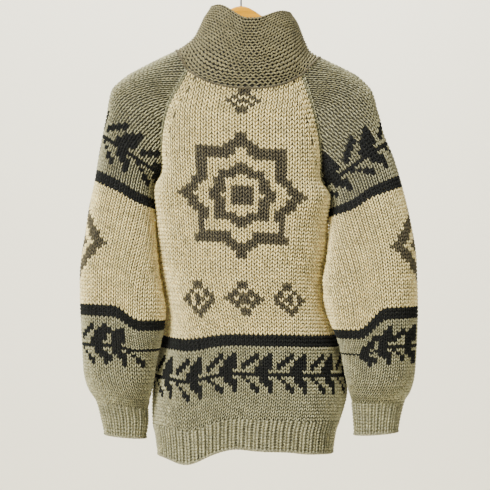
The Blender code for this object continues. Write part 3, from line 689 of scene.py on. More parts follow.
def stocking_seeds(cloth, places, yarns, choose, thickness, margin, first, last):
    """Seeds of the rows of a piece in stocking stitch from first to just below last. margin says
    how far in from each edge the wales stop."""
    seeds = Seeds()
    for row in range(first, len(yarns) if last is None else last):
        low, high = places[row], places[row + 1]
        middle = (low + high) / 2
        measure = cloth.row(middle)[1]
        pitch = cloth.pitch(middle)
        moved = float(np.interp(middle, *cloth.lean))
        # Where the wales have moved away from the line, there is room for one wale on it
        first_step = ceil(LINE_SPACE - moved / pitch) if moved else 0
        steps = np.arange(first_step, ceil(max(-measure[0], measure[-1]) / pitch))
        one_side = (steps + 0.5) * pitch + moved
        offsets = np.concatenate([-one_side[::-1], [0.0] if moved else [], one_side])
        from_edge = np.minimum(offsets - measure[0], measure[-1] - offsets)
        offsets = offsets[from_edge > margin(middle)]
        sides = np.sign(offsets)
        wales = cloth.wales_at(middle, offsets)
        at_low, at_high = (
            np.abs(sides)
            * ((wales + 0.5) * cloth.pitch(place) + sides * np.interp(place, *cloth.lean))
            for place in (low, high)
        )
        centre, up, facing = column_seeds(cloth, low, high, at_low, offsets, at_high, UNDER_STITCHES)
        heights = np.linalg.norm(up, axis=1)
        beside = unit(beside_at(cloth, middle, offsets))
        squareness = np.linalg.norm(np.cross(beside, unit(up)), axis=1)
        size = np.stack([pitch * squareness, heights, np.full(len(wales), thickness)], axis=1)
        yarn = [choose(row, wale, offset, yarns[row]) for wale, offset in zip(wales, offsets)]
        seeds.add(centre, up, facing, size, yarn)
    return seeds


def add_edge_column(seeds, cloth, places, yarns, distance, from_right, thickness):
    """Adds one column that follows a piece's edge at this distance."""
    for row, (low, high) in enumerate(zip(places, places[1:])):
        offsets = []
        for place in (low, (low + high) / 2, high):
            measure = cloth.row(place)[1]
            offsets.append(np.array([measure[-1] - distance if from_right else measure[0] + distance]))
        centre, up, facing = column_seeds(cloth, low, high, *offsets, UNDER_STITCHES)
        size = (LEANING_WIDTH, np.linalg.norm(up), thickness)
        seeds.add(centre, up, facing, [size], [yarns[row]])


# Meshes

def linked(name, data):
    """A new object in the scene."""
    made = bpy.data.objects.new(name, data)
    bpy.context.scene.collection.objects.link(made)
    return made


def linked_mesh(name, built):
    """A new object in the scene from a finished bmesh."""
    mesh = bpy.data.meshes.new(name)
    built.to_mesh(mesh)
    built.free()
    return linked(name, mesh)


def spindle(path, radii, sides):
    """Points and faces of one closed leg of yarn: a tip, rings round the path and a tip.
    Radii are pairs, across and out."""
    points, faces, turns = [path[0]], [], []
    for (x, y, z), (across, out) in zip(path[1:-1], radii):
        for side in range(sides):
            angle = 2 * pi * side / sides
            points.append((x + across * cos(angle), y, z + out * sin(angle)))
    points.append(path[-1])
    last = len(points) - 1
    rings = len(path) - 2
    for side in range(sides):
        following = (side + 1) % sides
        faces.append((0, 1 + side, 1 + following))
        turns.append(((side + 0.5, 0), (side, 1), (side + 1, 1)))
        for ring in range(rings - 1):
            here, there = 1 + ring * sides, 1 + (ring + 1) * sides
            faces.append((here + side, there + side, there + following, here + following))
            u, v = side + 1, ring + 2
            turns.append(((side, v - 1), (side, v), (u, v), (u, v - 1)))
        top = 1 + (rings - 1) * sides
        faces.append((last, top + following, top + side))
        turns.append(((side + 0.5, rings + 1), (side + 1, rings), (side, rings)))
    scaled = [[(u / sides, v / (rings + 1)) for u, v in face] for face in turns]
    return points, faces, scaled


def yarn_mesh(name, legs, sides):
    """One mesh of several closed legs, each a path and its radii, with UVs round and along."""
    built = bmesh.new()
    uv_layer = built.loops.layers.uv.new("UVMap")
    for path, radii in legs:
        points, faces, turns = spindle(path, radii, sides)
        made = [built.verts.new(point) for point in points]
        for corners, uvs in zip(faces, turns):
            face = built.faces.new([made[index] for index in corners])
            face.smooth = True
            for loop, uv in zip(face.loops, uvs):
                loop[uv_layer].uv = uv
    bmesh.ops.recalc_face_normals(built, faces=built.faces)
    return linked_mesh(name, built)


# A stitch's left leg, as points and radii in shares of its width, height and thickness
FULL_LEG = (
    (
        (-0.07, -0.76, -0.05),
        (-0.13, -0.36, 0.28),
        (-0.235, 0.0, 0.42),
        (-0.335, 0.36, 0.32),
        (-0.40, 0.78, -0.02),
    ),
    ((0.118, 0.38), (0.150, 0.46), (0.124, 0.36)),
)
SPARE_LEG = (
    ((-0.07, -0.76, -0.04), (-0.165, -0.26, 0.33), (-0.31, 0.30, 0.34), (-0.40, 0.78, -0.02)),
    ((0.138, 0.43), (0.132, 0.43)),
)
CAP_LEG = (
    ((-0.13, -0.76, -0.10), (-0.18, -0.28, 0.36), (-0.29, 0.28, 0.36), (-0.35, 0.78, -0.06)),
    ((0.100, 0.44), (0.100, 0.44)),
)
RIB_LEG = (
    ((-0.15, -0.76, -0.05), (-0.20, -0.26, 0.30), (-0.27, 0.26, 0.30), (-0.31, 0.78, -0.05)),
    ((0.150, 0.38), (0.150, 0.38)),
)
BUMP_LEG = (
    ((-0.52, -0.10, -0.30), (-0.24, 0.14, 0.28), (0.24, 0.14, 0.28), (0.52, -0.10, -0.30)),
    ((0.30, 0.42), (0.30, 0.42)),
)
TOOTH_LEG = (
    ((0, -0.50, 0), (0, -0.40, 0), (0, 0.40, 0), (0, 0.50, 0)),
    ((0.50, 0.50), (0.50, 0.50)),
)
ROPE_LEG = (
    ((-0.30, -0.80, -0.20), (-0.12, -0.30, 0.30), (0.12, 0.30, 0.30), (0.30, 0.80, -0.20)),
    ((0.30, 0.48), (0.30, 0.48)),
)
SEAM_LEG = (
    ((-0.10, -0.78, -0.20), (-0.17, -0.28, 0.28), (-0.27, 0.28, 0.30), (-0.36, 0.76, -0.16)),
    ((0.175, 0.55), (0.175, 0.55)),
)


def both_legs(leg):
    path, radii = leg
    return leg, (tuple((-x, y, z) for x, y, z in path), radii)


def cloth_mesh(name, outer, inner, joined_rows, shade, shadow):
    """A closed wall between two like grids of points in millimetres, run left to right as seen
    from outside. The first joined_rows rows are closed rings. shade gives a quad's colour, of
    which the outside, under the stitches, keeps the share shadow, as painted shade; the inside
    and the rims keep it all."""
    rows, columns = outer.shape[:2]
    built = bmesh.new()
    uv_layer = built.loops.layers.uv.new("UVMap")
    colour_layer = built.loops.layers.float_color.new("yarn")
    layers = []
    for grid in (outer, inner):
        made = [[built.verts.new(Vector(point) * MM) for point in line[:-1]] for line in grid]
        for row, line in enumerate(made):
            line.append(line[0] if row < joined_rows else built.verts.new(Vector(grid[row, -1]) * MM))
        layers.append(made)

    def face(corners, row, column, share=1.0):
        made = built.faces.new([corner for corner, _ in corners])
        made.smooth = True
        colour = shade(min(row, rows - 2), min(column, columns - 2))
        for loop, (_, place) in zip(made.loops, corners):
            loop[uv_layer].uv = place
            loop[colour_layer] = (*(channel * share for channel in colour), 1)

    for row in range(rows - 1):
        for column in range(columns - 1):
            places = ((row, column), (row, column + 1), (row + 1, column + 1), (row + 1, column))
            # The outside is darkened to the share shadow: painted shade between the stitches.
            for made, order, share in zip(layers, (places, places[::-1]), (shadow, 1.0)):
                face([(made[r][c], (c, r)) for r, c in order], row, column, share)

    rims = [
        [(0, column) for column in range(columns)],
        [(rows - 1, column) for column in reversed(range(columns))],
    ]
    if joined_rows < rows:
        first_open = max(joined_rows - 1, 0)
        rims.append([(row, columns - 1) for row in range(first_open, rows)])
        rims.append([(row, 0) for row in reversed(range(first_open, rows))])
    for line in rims:
        for (r0, c0), (r1, c1) in zip(line, line[1:]):
            quad = ((1, r0, c0), (1, r1, c1), (0, r1, c1), (0, r0, c0))
            face([(layers[layer][r][c], (c, r)) for layer, r, c in quad], r0, c0)
    return linked_mesh(name, built)


def grid_normals(grid, joined_rows):
    along, across = np.gradient(grid, axis=0), np.gradient(grid, axis=1)
    if joined_rows:
        round_step = grid[:joined_rows, 1] - grid[:joined_rows, -2]
        across[:joined_rows, 0] = across[:joined_rows, -1] = round_step / 2
    return unit(np.cross(across, along))


def drawn_in(grid, joined_rows):
    """The grid with its open edges drawn in by half the seam gap."""
    result = grid.copy()
    for edge, inside in ((0, 1), (-1, -2)):
        result[edge] += SEAM_GAP / 2 * unit(grid[inside] - grid[edge])
        open_rows = slice(joined_rows, None)
        result[open_rows, edge] += SEAM_GAP / 2 * unit(grid[open_rows, inside] - grid[open_rows, edge])
    return result


def wall(name, cloth, places, columns, shade, knit, joined_rows=0, raised=0.0, shadow=STITCH_SHADOW):
    """The closed wall under a piece's stitches, its outside darkened by shadow as painted shade. raised is
    a height for each outer column.
    """
    grid = cloth.grid(places, columns)
    normals = grid_normals(grid, joined_rows)
    outside = np.reshape(raised, (1, -1, 1)) - UNDER_STITCHES
    outer = drawn_in(grid + outside * normals, joined_rows)
    inner = drawn_in(grid - WALL * normals, joined_rows)
    backing = cloth_mesh(name, outer, inner, joined_rows, shade, shadow)
    backing.data.materials.append(backing_finish(knit))
    return backing


def flat_size(cloth, places):
    """Width, length and area in metres of the piece laid flat."""
    widths = [lengths(cloth.row(place)[0])[-1] for place in places]
    up, measure = cloth.up_line()
    low, high = np.interp((places[0], places[-1]), up, measure)
    width, length = max(widths) * MM, (high - low) * MM
    return (width, length), min(float(np.mean(widths)) * MM * length, 0.999 * width * length)


# Nodes

def plug(tree, socket, value):
    if isinstance(value, bpy.types.NodeSocket):
        tree.links.new(value, socket)
    else:
        socket.default_value = value


def socket_named(sockets, label):
    if isinstance(label, int):
        return sockets[label]
    for wanted in ("identifier", "name"):
        for socket in sockets:
            if socket.enabled and getattr(socket, wanted) == label:
                return socket
    raise KeyError(label)


def add_node(tree, kind, feeds=None, **settings):
    """A node with these properties, and these values or links in its inputs."""
    made = tree.nodes.new(kind)
    for key, value in settings.items():
        setattr(made, key, value)
    for label, value in (feeds or {}).items():
        plug(tree, socket_named(made.inputs, label), value)
    return made


def built_once(store, name):
    """Makes a function build what has this name only where it isn't there yet."""

    def wrap(build):
        return lambda *values: getattr(bpy.data, store).get(name) or build(name, *values)

    return wrap


def new_tree(name, kind, inputs, outputs):
    """An empty tree, what its input node gives and what its output node takes. An input is a
    name, a type and where it has one a default."""
    tree = bpy.data.node_groups.new(name, kind)
    for label, socket_type, *default in inputs:
        socket = tree.interface.new_socket(label, in_out="INPUT", socket_type="NodeSocket" + socket_type)
        if default:
            socket.default_value = default[0]
    for label, socket_type in outputs:
        tree.interface.new_socket(label, in_out="OUTPUT", socket_type="NodeSocket" + socket_type)
    return tree, add_node(tree, "NodeGroupInput").outputs, add_node(tree, "NodeGroupOutput").inputs


def maths(tree, operation, *values, **settings):
    """The result of a Math node."""
    feeds = dict(enumerate(values))
    return add_node(tree, "ShaderNodeMath", feeds, operation=operation, **settings).outputs[0]


def vector_maths(tree, operation, first, second):
    """The result of a Vector Math node, where SCALE takes a number second."""
    feeds = {0: first, "Scale" if operation == "SCALE" else 1: second}
    return add_node(tree, "ShaderNodeVectorMath", feeds, operation=operation).outputs[0]


def noise(tree, place, scale, detail, distortion=0.0):
    feeds = {"Vector": place, "Scale": scale, "Detail": detail, "Distortion": distortion}
    return add_node(tree, "ShaderNodeTexNoise", feeds).outputs[0]


def map_range(tree, value, given, wanted):
    limits = zip(("From Min", "From Max", "To Min", "To Max"), (*given, *wanted))
    return add_node(tree, "ShaderNodeMapRange", {"Value": value, **dict(limits)}).outputs[0]


def named_attribute(tree, label, kind="FLOAT_VECTOR"):
    return add_node(tree, "GeometryNodeInputNamedAttribute", {"Name": label}, data_type=kind).outputs[0]


def end_in_material(tree, out, geometry, material):
    """Ends a tree in real geometry with one material."""
    real = add_node(tree, "GeometryNodeRealizeInstances", {"Geometry": geometry})
    dressed = add_node(tree, "GeometryNodeSetMaterial", {"Geometry": real.outputs[0], "Material": material})
    plug(tree, out[0], dressed.outputs[0])
    return tree


@built_once("node_groups", "Stitches on seeds")
def stitch_tree(name):
    """Grows a stitch on every seed, turned by the seed's up and facing, with a little unevenness."""
    tree, into, out = new_tree(
        name,
        "GeometryNodeTree",
        (
            ("Seeds", "Geometry"),
            ("Stitch", "Object"),
            ("Looseness", "Float", 0.05),
            ("Seed", "Int", 0),
            ("Wool", "Material"),
        ),
        (("Stitches", "Geometry"),),
    )
    axes = {0: named_attribute(tree, "facing"), 1: named_attribute(tree, "up")}
    turned = add_node(tree, "FunctionNodeAxesToRotation", axes, primary_axis="Z", secondary_axis="Y")
    most, least = (vector_maths(tree, "SCALE", (way,) * 3, into["Looseness"]) for way in (1, -1))
    limits = {"Min": least, "Max": most, "Seed": into["Seed"]}
    tilt = add_node(tree, "FunctionNodeRandomValue", limits, data_type="FLOAT_VECTOR")
    as_turn = add_node(tree, "FunctionNodeEulerToRotation", {0: tilt.outputs[0]})
    turns = {0: turned.outputs[0], 1: as_turn.outputs[0]}
    rotation = add_node(tree, "FunctionNodeRotateRotation", turns, rotation_space="LOCAL")
    shape = add_node(tree, "GeometryNodeObjectInfo", {"Object": into["Stitch"]})
    grown = add_node(
        tree,
        "GeometryNodeInstanceOnPoints",
        {
            "Points": into["Seeds"],
            "Instance": shape.outputs["Geometry"],
            "Rotation": rotation.outputs[0],
            "Scale": named_attribute(tree, "size"),
        },
    )
    return end_in_material(tree, out, grown.outputs[0], into["Wool"])


@built_once("node_groups", "Yarn along lines")
def strand_tree(name):
    """Sweeps yarn along lines of points, as thick as the points say."""
    tree, into, out = new_tree(
        name,
        "GeometryNodeTree",
        (("Lines", "Geometry"), ("Sides", "Int", 5), ("Wool", "Material")),
        (("Yarn", "Geometry"),),
    )
    curve = add_node(tree, "GeometryNodeMeshToCurve", {0: into["Lines"]})
    round_feeds = {"Resolution": into["Sides"], "Radius": 1.0}
    profile = add_node(tree, "GeometryNodeCurvePrimitiveCircle", round_feeds)
    thick = named_attribute(tree, "thick", "FLOAT")
    feeds = {0: curve.outputs[0], 1: profile.outputs[0], "Scale": thick, "Fill Caps": True}
    swept = add_node(tree, "GeometryNodeCurveToMesh", feeds)
    smooth = add_node(tree, "GeometryNodeSetShadeSmooth", {0: swept.outputs[0]})
    return end_in_material(tree, out, smooth.outputs[0], into["Wool"])


def grow(name, mesh, tree, inputs, drop=()):
    """Runs a Geometry Nodes tree on a mesh and returns the result as a plain object."""
    helper = linked(name + "_seeds", mesh)
    modifier = helper.modifiers.new("Grow", "NODES")
    modifier.node_group = tree
    for socket in tree.interface.items_tree:
        if socket.in_out == "INPUT" and socket.name in inputs:
            modifier[socket.identifier] = inputs[socket.name]
    bpy.context.view_layer.update()
    evaluated = helper.evaluated_get(bpy.context.evaluated_depsgraph_get())
    result = bpy.data.meshes.new_from_object(evaluated)
    helper.modifiers.remove(modifier)
    bpy.data.objects.remove(helper, do_unlink=True)
    if not result.polygons:
        raise RuntimeError(f"{name} grew no faces")
    for label in drop:
        if label in result.attributes:
            result.attributes.remove(result.attributes[label])
    result.name = name
    return linked(name, result)


def grow_stitches(name, seeds, legs, knit, seed):
    """Stitches with these legs on the seeds, as one plain mesh."""
    stitch = yarn_mesh("stitch_shape", legs, STITCH_SIDES)
    mesh = seeds.mesh(yarn_colours(knit), knit.unevenness, seed)
    inputs = {"Stitch": stitch, "Looseness": knit.looseness, "Seed": seed, "Wool": wool_finish(knit)}
    grown = grow(name, mesh, stitch_tree(), inputs, ("up", "facing", "size"))
    bpy.data.objects.remove(stitch, do_unlink=True)
    return grown


def yarn_colours(knit):
    return {label: tuple(getattr(knit, label)) for label in YARNS}


# Finishes

GREY = (0.5, 0.5, 0.5, 1)
PATCH_SCALE, HUE_SCALE, FIBRE_SCALE = 55.0, 310.0, 2600.0  # of the yarn's noises, per metre
HUE_SWING = (0.22, 0.06, -0.36)  # how far the yarn's red, green and blue swing together
TWILL = (0.0011, 0.0009)  # metres from line to line of the zip's tape, across and up
GRAIN_SCALE, FLECK_SCALE = (9.0, 160.0, 160.0), (220.0, 1500.0, 1500.0)  # along the hanger and round it


def object_coordinates(tree):
    return add_node(tree, "ShaderNodeTexCoord").outputs["Object"]


def parts_of(tree, vector):
    return add_node(tree, "ShaderNodeSeparateXYZ", {0: vector}).outputs


def uv_parts(tree):
    return parts_of(tree, add_node(tree, "ShaderNodeTexCoord").outputs["UV"])


@built_once("node_groups", "Wool marl")
def marl_group(name):
    """Two tones twisted together, with darker and lighter lengths, and the ply's relief."""
    tree, into, out = new_tree(
        name,
        "ShaderNodeTree",
        (
            ("Colour", "Color", GREY),
            ("Marl", "Float", 1.0),
            ("Flecks", "Float", 430.0),
            ("Plies", "Float", 3.0),
        ),
        (("Colour", "Color"), ("Height", "Float")),
    )
    place, uv = object_coordinates(tree), uv_parts(tree)
    slant = maths(tree, "MULTIPLY_ADD", uv[1], into["Plies"], uv[0])
    ply = maths(tree, "SINE", maths(tree, "MULTIPLY", slant, 4 * pi))
    spread = maths(tree, "SUBTRACT", noise(tree, place, into["Flecks"], 2.0), 0.5)
    flecked = maths(tree, "MULTIPLY_ADD", maths(tree, "MULTIPLY", spread, into["Marl"]), 2.4, 1.0)
    drift = map_range(tree, noise(tree, place, PATCH_SCALE, 2.0), (0.3, 0.7), (0.93, 1.07))
    plied = maths(tree, "MULTIPLY_ADD", ply, 0.05, 1.0)
    tone = maths(tree, "MULTIPLY", maths(tree, "MULTIPLY", flecked, drift), plied)
    swing = maths(tree, "SUBTRACT", noise(tree, place, HUE_SCALE, 1.0), 0.5)
    tint = vector_maths(tree, "ADD", vector_maths(tree, "SCALE", HUE_SWING, swing), (1, 1, 1))
    hued = vector_maths(tree, "MULTIPLY", into["Colour"], tint)
    plug(tree, out["Colour"], vector_maths(tree, "SCALE", hued, tone))
    fibre = noise(tree, place, FIBRE_SCALE, 3.0)
    plug(tree, out["Height"], maths(tree, "MULTIPLY_ADD", ply, 0.35, fibre))
    return tree


def new_material(name, values):
    """A material with these values on its shader's own sockets, its tree and those sockets."""
    material = bpy.data.materials.new(name)
    material.use_nodes = True
    tree = material.node_tree
    shader = next(node for node in tree.nodes if node.type == "BSDF_PRINCIPLED").inputs
    for label, value in values.items():
        shader[label].default_value = value
    return material, tree, shader


def add_bump(tree, shader, height, distance, strength=1.0):
    feeds = {"Strength": strength, "Distance": distance, "Height": height}
    plug(tree, shader["Normal"], add_node(tree, "ShaderNodeBump", feeds).outputs[0])


def marled(tree, shader, values):
    """Colours a shader as the carried yarn, marled, and gives the yarn's relief."""
    carried = add_node(tree, "ShaderNodeAttribute", attribute_name="yarn").outputs["Color"]
    marl = add_node(tree, "ShaderNodeGroup", {"Colour": carried, **values}, node_tree=marl_group())
    plug(tree, shader["Base Color"], marl.outputs["Colour"])
    return marl.outputs["Height"]


@built_once("materials", "wool")
def wool_finish(name, knit):
    """Spun wool in the colour that each stitch carries."""
    material, tree, shader = new_material(
        name,
        {
            "Roughness": 0.92,
            "Specular IOR Level": 0.25,
            "Sheen Weight": 0.05,
            "Sheen Roughness": 0.6,
            "Sheen Tint": (1.0, 0.97, 0.9, 1),
        },
    )
    add_bump(tree, shader, marled(tree, shader, {"Marl": knit.marl}), 0.0005, 0.8)
    return material


@built_once("materials", "wool_backing")
def backing_finish(name, knit):
    """The cloth between and behind the stitches, with the rows of loops of its wrong side."""
    material, tree, shader = new_material(name, {"Roughness": 0.95, "Sheen Weight": 0.03})
    relief = marled(tree, shader, {"Marl": knit.marl, "Plies": 0.0})
    uv = uv_parts(tree)
    across, up = (maths(tree, "MULTIPLY", uv[axis], 2 * pi) for axis in (0, 1))
    loops = maths(tree, "SINE", maths(tree, "MULTIPLY_ADD", maths(tree, "SINE", across), 0.9, up))
    add_bump(tree, shader, maths(tree, "MULTIPLY_ADD", relief, 0.25, loops), 0.0012)
    return material


@built_once("node_groups", "Handled surface")
def wear_group(name):
    """Darker and brighter patches, with the roughness that goes with them, and fine scratches."""
    tree, into, out = new_tree(
        name,
        "ShaderNodeTree",
        (
            ("Colour", "Color", GREY),
            ("Roughness", "Float", 0.4),
            ("Patches", "Float", 60.0),
            ("Strength", "Float", 0.3),
        ),
        (("Colour", "Color"), ("Roughness", "Float"), ("Height", "Float")),
    )
    place = object_coordinates(tree)
    centred = maths(tree, "SUBTRACT", noise(tree, place, into["Patches"], 5.0), 0.5)
    scaled = maths(tree, "MULTIPLY", centred, into["Strength"])
    tone = maths(tree, "MULTIPLY_ADD", scaled, 2.0, 1.0)
    plug(tree, out["Colour"], vector_maths(tree, "SCALE", into["Colour"], tone))
    plug(tree, out["Roughness"], maths(tree, "SUBTRACT", into["Roughness"], scaled, use_clamp=True))
    plug(tree, out["Height"], noise(tree, place, 1500.0, 3.0))
    return tree


def handled(tree, colour, roughness, patches, strength):
    """What the handled surface gives for this colour and roughness."""
    feeds = {"Colour": (*colour, 1), "Roughness": roughness, "Patches": patches, "Strength": strength}
    return add_node(tree, "ShaderNodeGroup", feeds, node_tree=wear_group()).outputs


def metal_finish(name, colour, roughness):
    """Metal with handled patches and a fine drawn surface."""
    material, tree, shader = new_material(name, {"Metallic": 1.0})
    worn = handled(tree, colour, roughness, 260.0, 0.35)
    plug(tree, shader["Base Color"], worn["Colour"])
    plug(tree, shader["Roughness"], worn["Roughness"])
    add_bump(tree, shader, worn["Height"], 0.0001, 0.6)
    return material


def tape_finish(name, colour):
    """Narrow woven tape in a twill."""
    material, tree, shader = new_material(name, {"Roughness": 0.85})
    place = parts_of(tree, object_coordinates(tree))
    across = maths(tree, "MULTIPLY", place[0], 2 * pi / TWILL[0])
    twill = maths(tree, "SINE", maths(tree, "MULTIPLY_ADD", place[2], 2 * pi / TWILL[1], across))
    worn = handled(tree, colour, 0.85, 120.0, 0.2)
    tone = maths(tree, "MULTIPLY_ADD", twill, 0.16, 1.0)
    plug(tree, shader["Base Color"], vector_maths(tree, "SCALE", worn["Colour"], tone))
    add_bump(tree, shader, twill, 0.0003)
    return material


def wood_finish(name, colour, grain):
    """Beech with grain along the hanger's arms, short flecks and a thin oil finish."""
    material, tree, shader = new_material(name, {"Roughness": 0.5, "Specular IOR Level": 0.12})
    grained, flecked = (
        add_node(tree, "ShaderNodeMapping", {"Vector": object_coordinates(tree), "Scale": scale}).outputs[0]
        for scale in (GRAIN_SCALE, FLECK_SCALE)
    )
    lines, flecks = noise(tree, grained, 1.0, 4.0, 0.6), noise(tree, flecked, 1.0, 2.0)
    both = maths(tree, "MULTIPLY_ADD", flecks, 0.35, lines)
    tone = map_range(tree, both, (0.45, 0.9), (1 - 0.5 * grain, 1 + 0.25 * grain))
    plug(tree, shader["Base Color"], vector_maths(tree, "SCALE", colour, tone))
    add_bump(tree, shader, both, 0.0003, 0.5)
    return material


def wall_finish(name, colour):
    """Plain painted studio surface."""
    material, tree, shader = new_material(name, {"Roughness": 0.9})
    plug(tree, shader["Base Color"], handled(tree, colour, 0.9, 1.2, 0.03)["Colour"])
    return material


# Settings

Colour = partial(bpy.props.FloatVectorProperty, subtype="COLOR", min=0, max=1)
Length = partial(bpy.props.FloatProperty, subtype="DISTANCE")
Share = partial(bpy.props.FloatProperty, subtype="FACTOR", min=0)


class KnitSettings(bpy.types.PropertyGroup):
    """Yarn and handwriting of the knitting."""

    cream: Colour(name="Cream", description="Undyed yarn of the body", default=(0.96, 0.80, 0.37))
    taupe: Colour(name="Taupe", description="Yarn of the bands and ribs", default=(0.42, 0.395, 0.225))
    # The taupe yarn made darker, for the sleeves' caps.
    shoulder: Colour(name="Shoulder", description="Yarn of the sleeves' caps", default=(0.38, 0.357, 0.204))
    charcoal: Colour(
        name="Charcoal", description="Yarn of the stripes and leaves", default=(0.009, 0.0105, 0.008)
    )
    brown: Colour(name="Brown", description="Marled yarn of the motifs", default=(0.118, 0.10, 0.056))
    selvedge: Colour(
        name="Selvedge",
        description="Yarn that the raglan seams are sewn with",
        default=(0.30, 0.288, 0.165),
    )
    collar: Colour(name="Collar", description="Yarn of the collar", default=(0.214, 0.188, 0.094))
    # The taupe yarn made darker, for the rolled ends of the hem and cuffs.
    edge: Colour(
        name="Edge", description="Yarn of the rolled ends of the hem and cuffs", default=(0.30, 0.28, 0.16)
    )
    thickness: Length(
        name="Yarn thickness",
        description="Thickness of a stitch's leg",
        min=0.001,
        max=0.008,
        default=0.0036,
    )
    looseness: bpy.props.FloatProperty(
        name="Looseness",
        description="Most that a stitch is turned off its place",
        subtype="ANGLE",
        min=0,
        max=0.5,
        default=0.07,
    )
    unevenness: Share(
        name="Unevenness",
        description="How much the yarn's tone differs from stitch to stitch",
        max=0.5,
        default=0.09,
    )
    marl: Share(
        name="Marl", description="Contrast of the two tones twisted in the yarn", max=1, default=0.95
    )


class ZipSettings(bpy.types.PropertyGroup):
    """Metal, tape and teeth of the zip."""

    metal: Colour(
        name="Metal", description="Aged brass of the teeth and slider", default=(0.42, 0.36, 0.24)
    )
    tape: Colour(name="Tape", description="Woven tape", default=(0.13, 0.12, 0.10))
    pitch: Length(
        name="Tooth pitch",
        description="From one tooth to the next on a tape",
        min=0.002,
        max=0.005,
        default=0.0028,
    )


class HangerSettings(bpy.types.PropertyGroup):
    """Wood and wire of the hanger."""

    wood: Colour(name="Wood", description="Oiled beech", default=(0.76, 0.34, 0.0))
    steel: Colour(name="Steel", description="Bent wire of the hook", default=(0.12, 0.12, 0.13))
    grain: Share(name="Grain", description="Strength of the wood's grain", max=1, default=0.5)


class StageSettings(bpy.types.PropertyGroup):
    """Floor, wall, lights and camera."""

    wall_colour: Colour(name="Wall", description="Colour of the wall behind", default=(0.95, 0.905, 0.74))
    distance: Length(
        name="Camera distance",
        description="From the cardigan's middle to the camera",
        min=0.5,
        max=10,
        default=2.6,
    )
    frame_width: Length(
        name="Frame width",
        description="Width that the camera sees at the cardigan",
        min=0.2,
        max=5,
        default=0.784,
    )
    brightness: Share(name="Brightness", description="Strength of all the lights", max=5, default=1.36)
    fill: Share(name="Fill", description="Strength of the light from all round", max=5, default=0.32)


# Knitted pieces

def back_cloth():
    return Cloth(body_curves(True), 0.5, BODY_PITCH)


def front_cloth(word, zero=0.5):
    return Cloth(front_curves(word), zero, BODY_PITCH)


def sleeve_cloth(word):
    return Cloth(sleeve_curves(word), 0.5, SLEEVE_PITCH, CAP_LEAN)


def collar_cloth():
    return Cloth(collar_curves(), 0.5, BODY_PITCH)


def edge_margin(place):
    return EDGE_SPACE


def back_margin(place):
    """The yoke's own wales stop at the columns that lean along its raglan seams."""
    return LEANING[1] + LEANING_SPACE if place > LEANING_START else EDGE_SPACE


def dress(backing, details, cloth, places, nodes):
    """Rides a knitted piece and the separate pieces on it on the cardigan, and hides the nodes that they
    stand for.
    """
    size, area = flat_size(cloth, places)
    for piece in (backing, *details):
        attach(piece, "cardigan")
    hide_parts(*nodes)


def one_colour(colour):
    """The colour of a wall that is knitted in one yarn."""
    plain = tuple(colour)
    return lambda row, column: plain


def knit_parts(cloth, places, yarns, choose, knit, parts, margin=edge_margin):
    """Stocking stitch in parts, each a name, its first row, the row after its last, its leg and
    its seed."""
    made = []
    for name, first, last, leg, seed in parts:
        seeds = stocking_seeds(cloth, places, yarns, choose, thickness_of(knit), margin, first, last)
        made.append(grow_stitches(name, seeds, both_legs(leg), knit, seed))
    return made


def cover(name, nodes, details, cloth, places, yarns, choose, knit, columns, joined_rows=0):
    """Puts a wall in the stitches' yarns under a piece in stocking stitch, and has them stand for
    these nodes."""
    colours = yarn_colours(knit)
    measures = [cloth.row((low + high) / 2)[1] for low, high in zip(places, places[1:])]

    def shade(row, column):
        measure = measures[row]
        offset = measure[0] + (measure[-1] - measure[0]) * (column + 0.5) / columns
        wale = int(cloth.wales_at(places[row], offset))
        return colours[choose(row, wale, offset, yarns[row])]

    backing = wall(name + "_cloth", cloth, places, columns, shade, knit, joined_rows)
    dress(backing, details, cloth, places, nodes)


def chain_seeds(cloth, width, thickness, yarn):
    """Seeds of a chain along a piece's lowest row."""
    measure = cloth.row(0)[1]
    links = round((measure[-1] - measure[0]) / CHAIN_LINK)
    ends = measure[0] + np.arange(links + 1) / links * (measure[-1] - measure[0])
    line = cloth.read(0, ends)
    along = np.diff(line, axis=0)
    _, _, facing = column_seeds(cloth, 0, CHAIN_FACING, *[(ends[:-1] + ends[1:]) / 2] * 3, 0)
    seeds = Seeds()
    size = [(width, np.linalg.norm(step), thickness) for step in along]
    seeds.add((line[:-1] + line[1:]) / 2, along, facing, size, [yarn] * links)
    return seeds


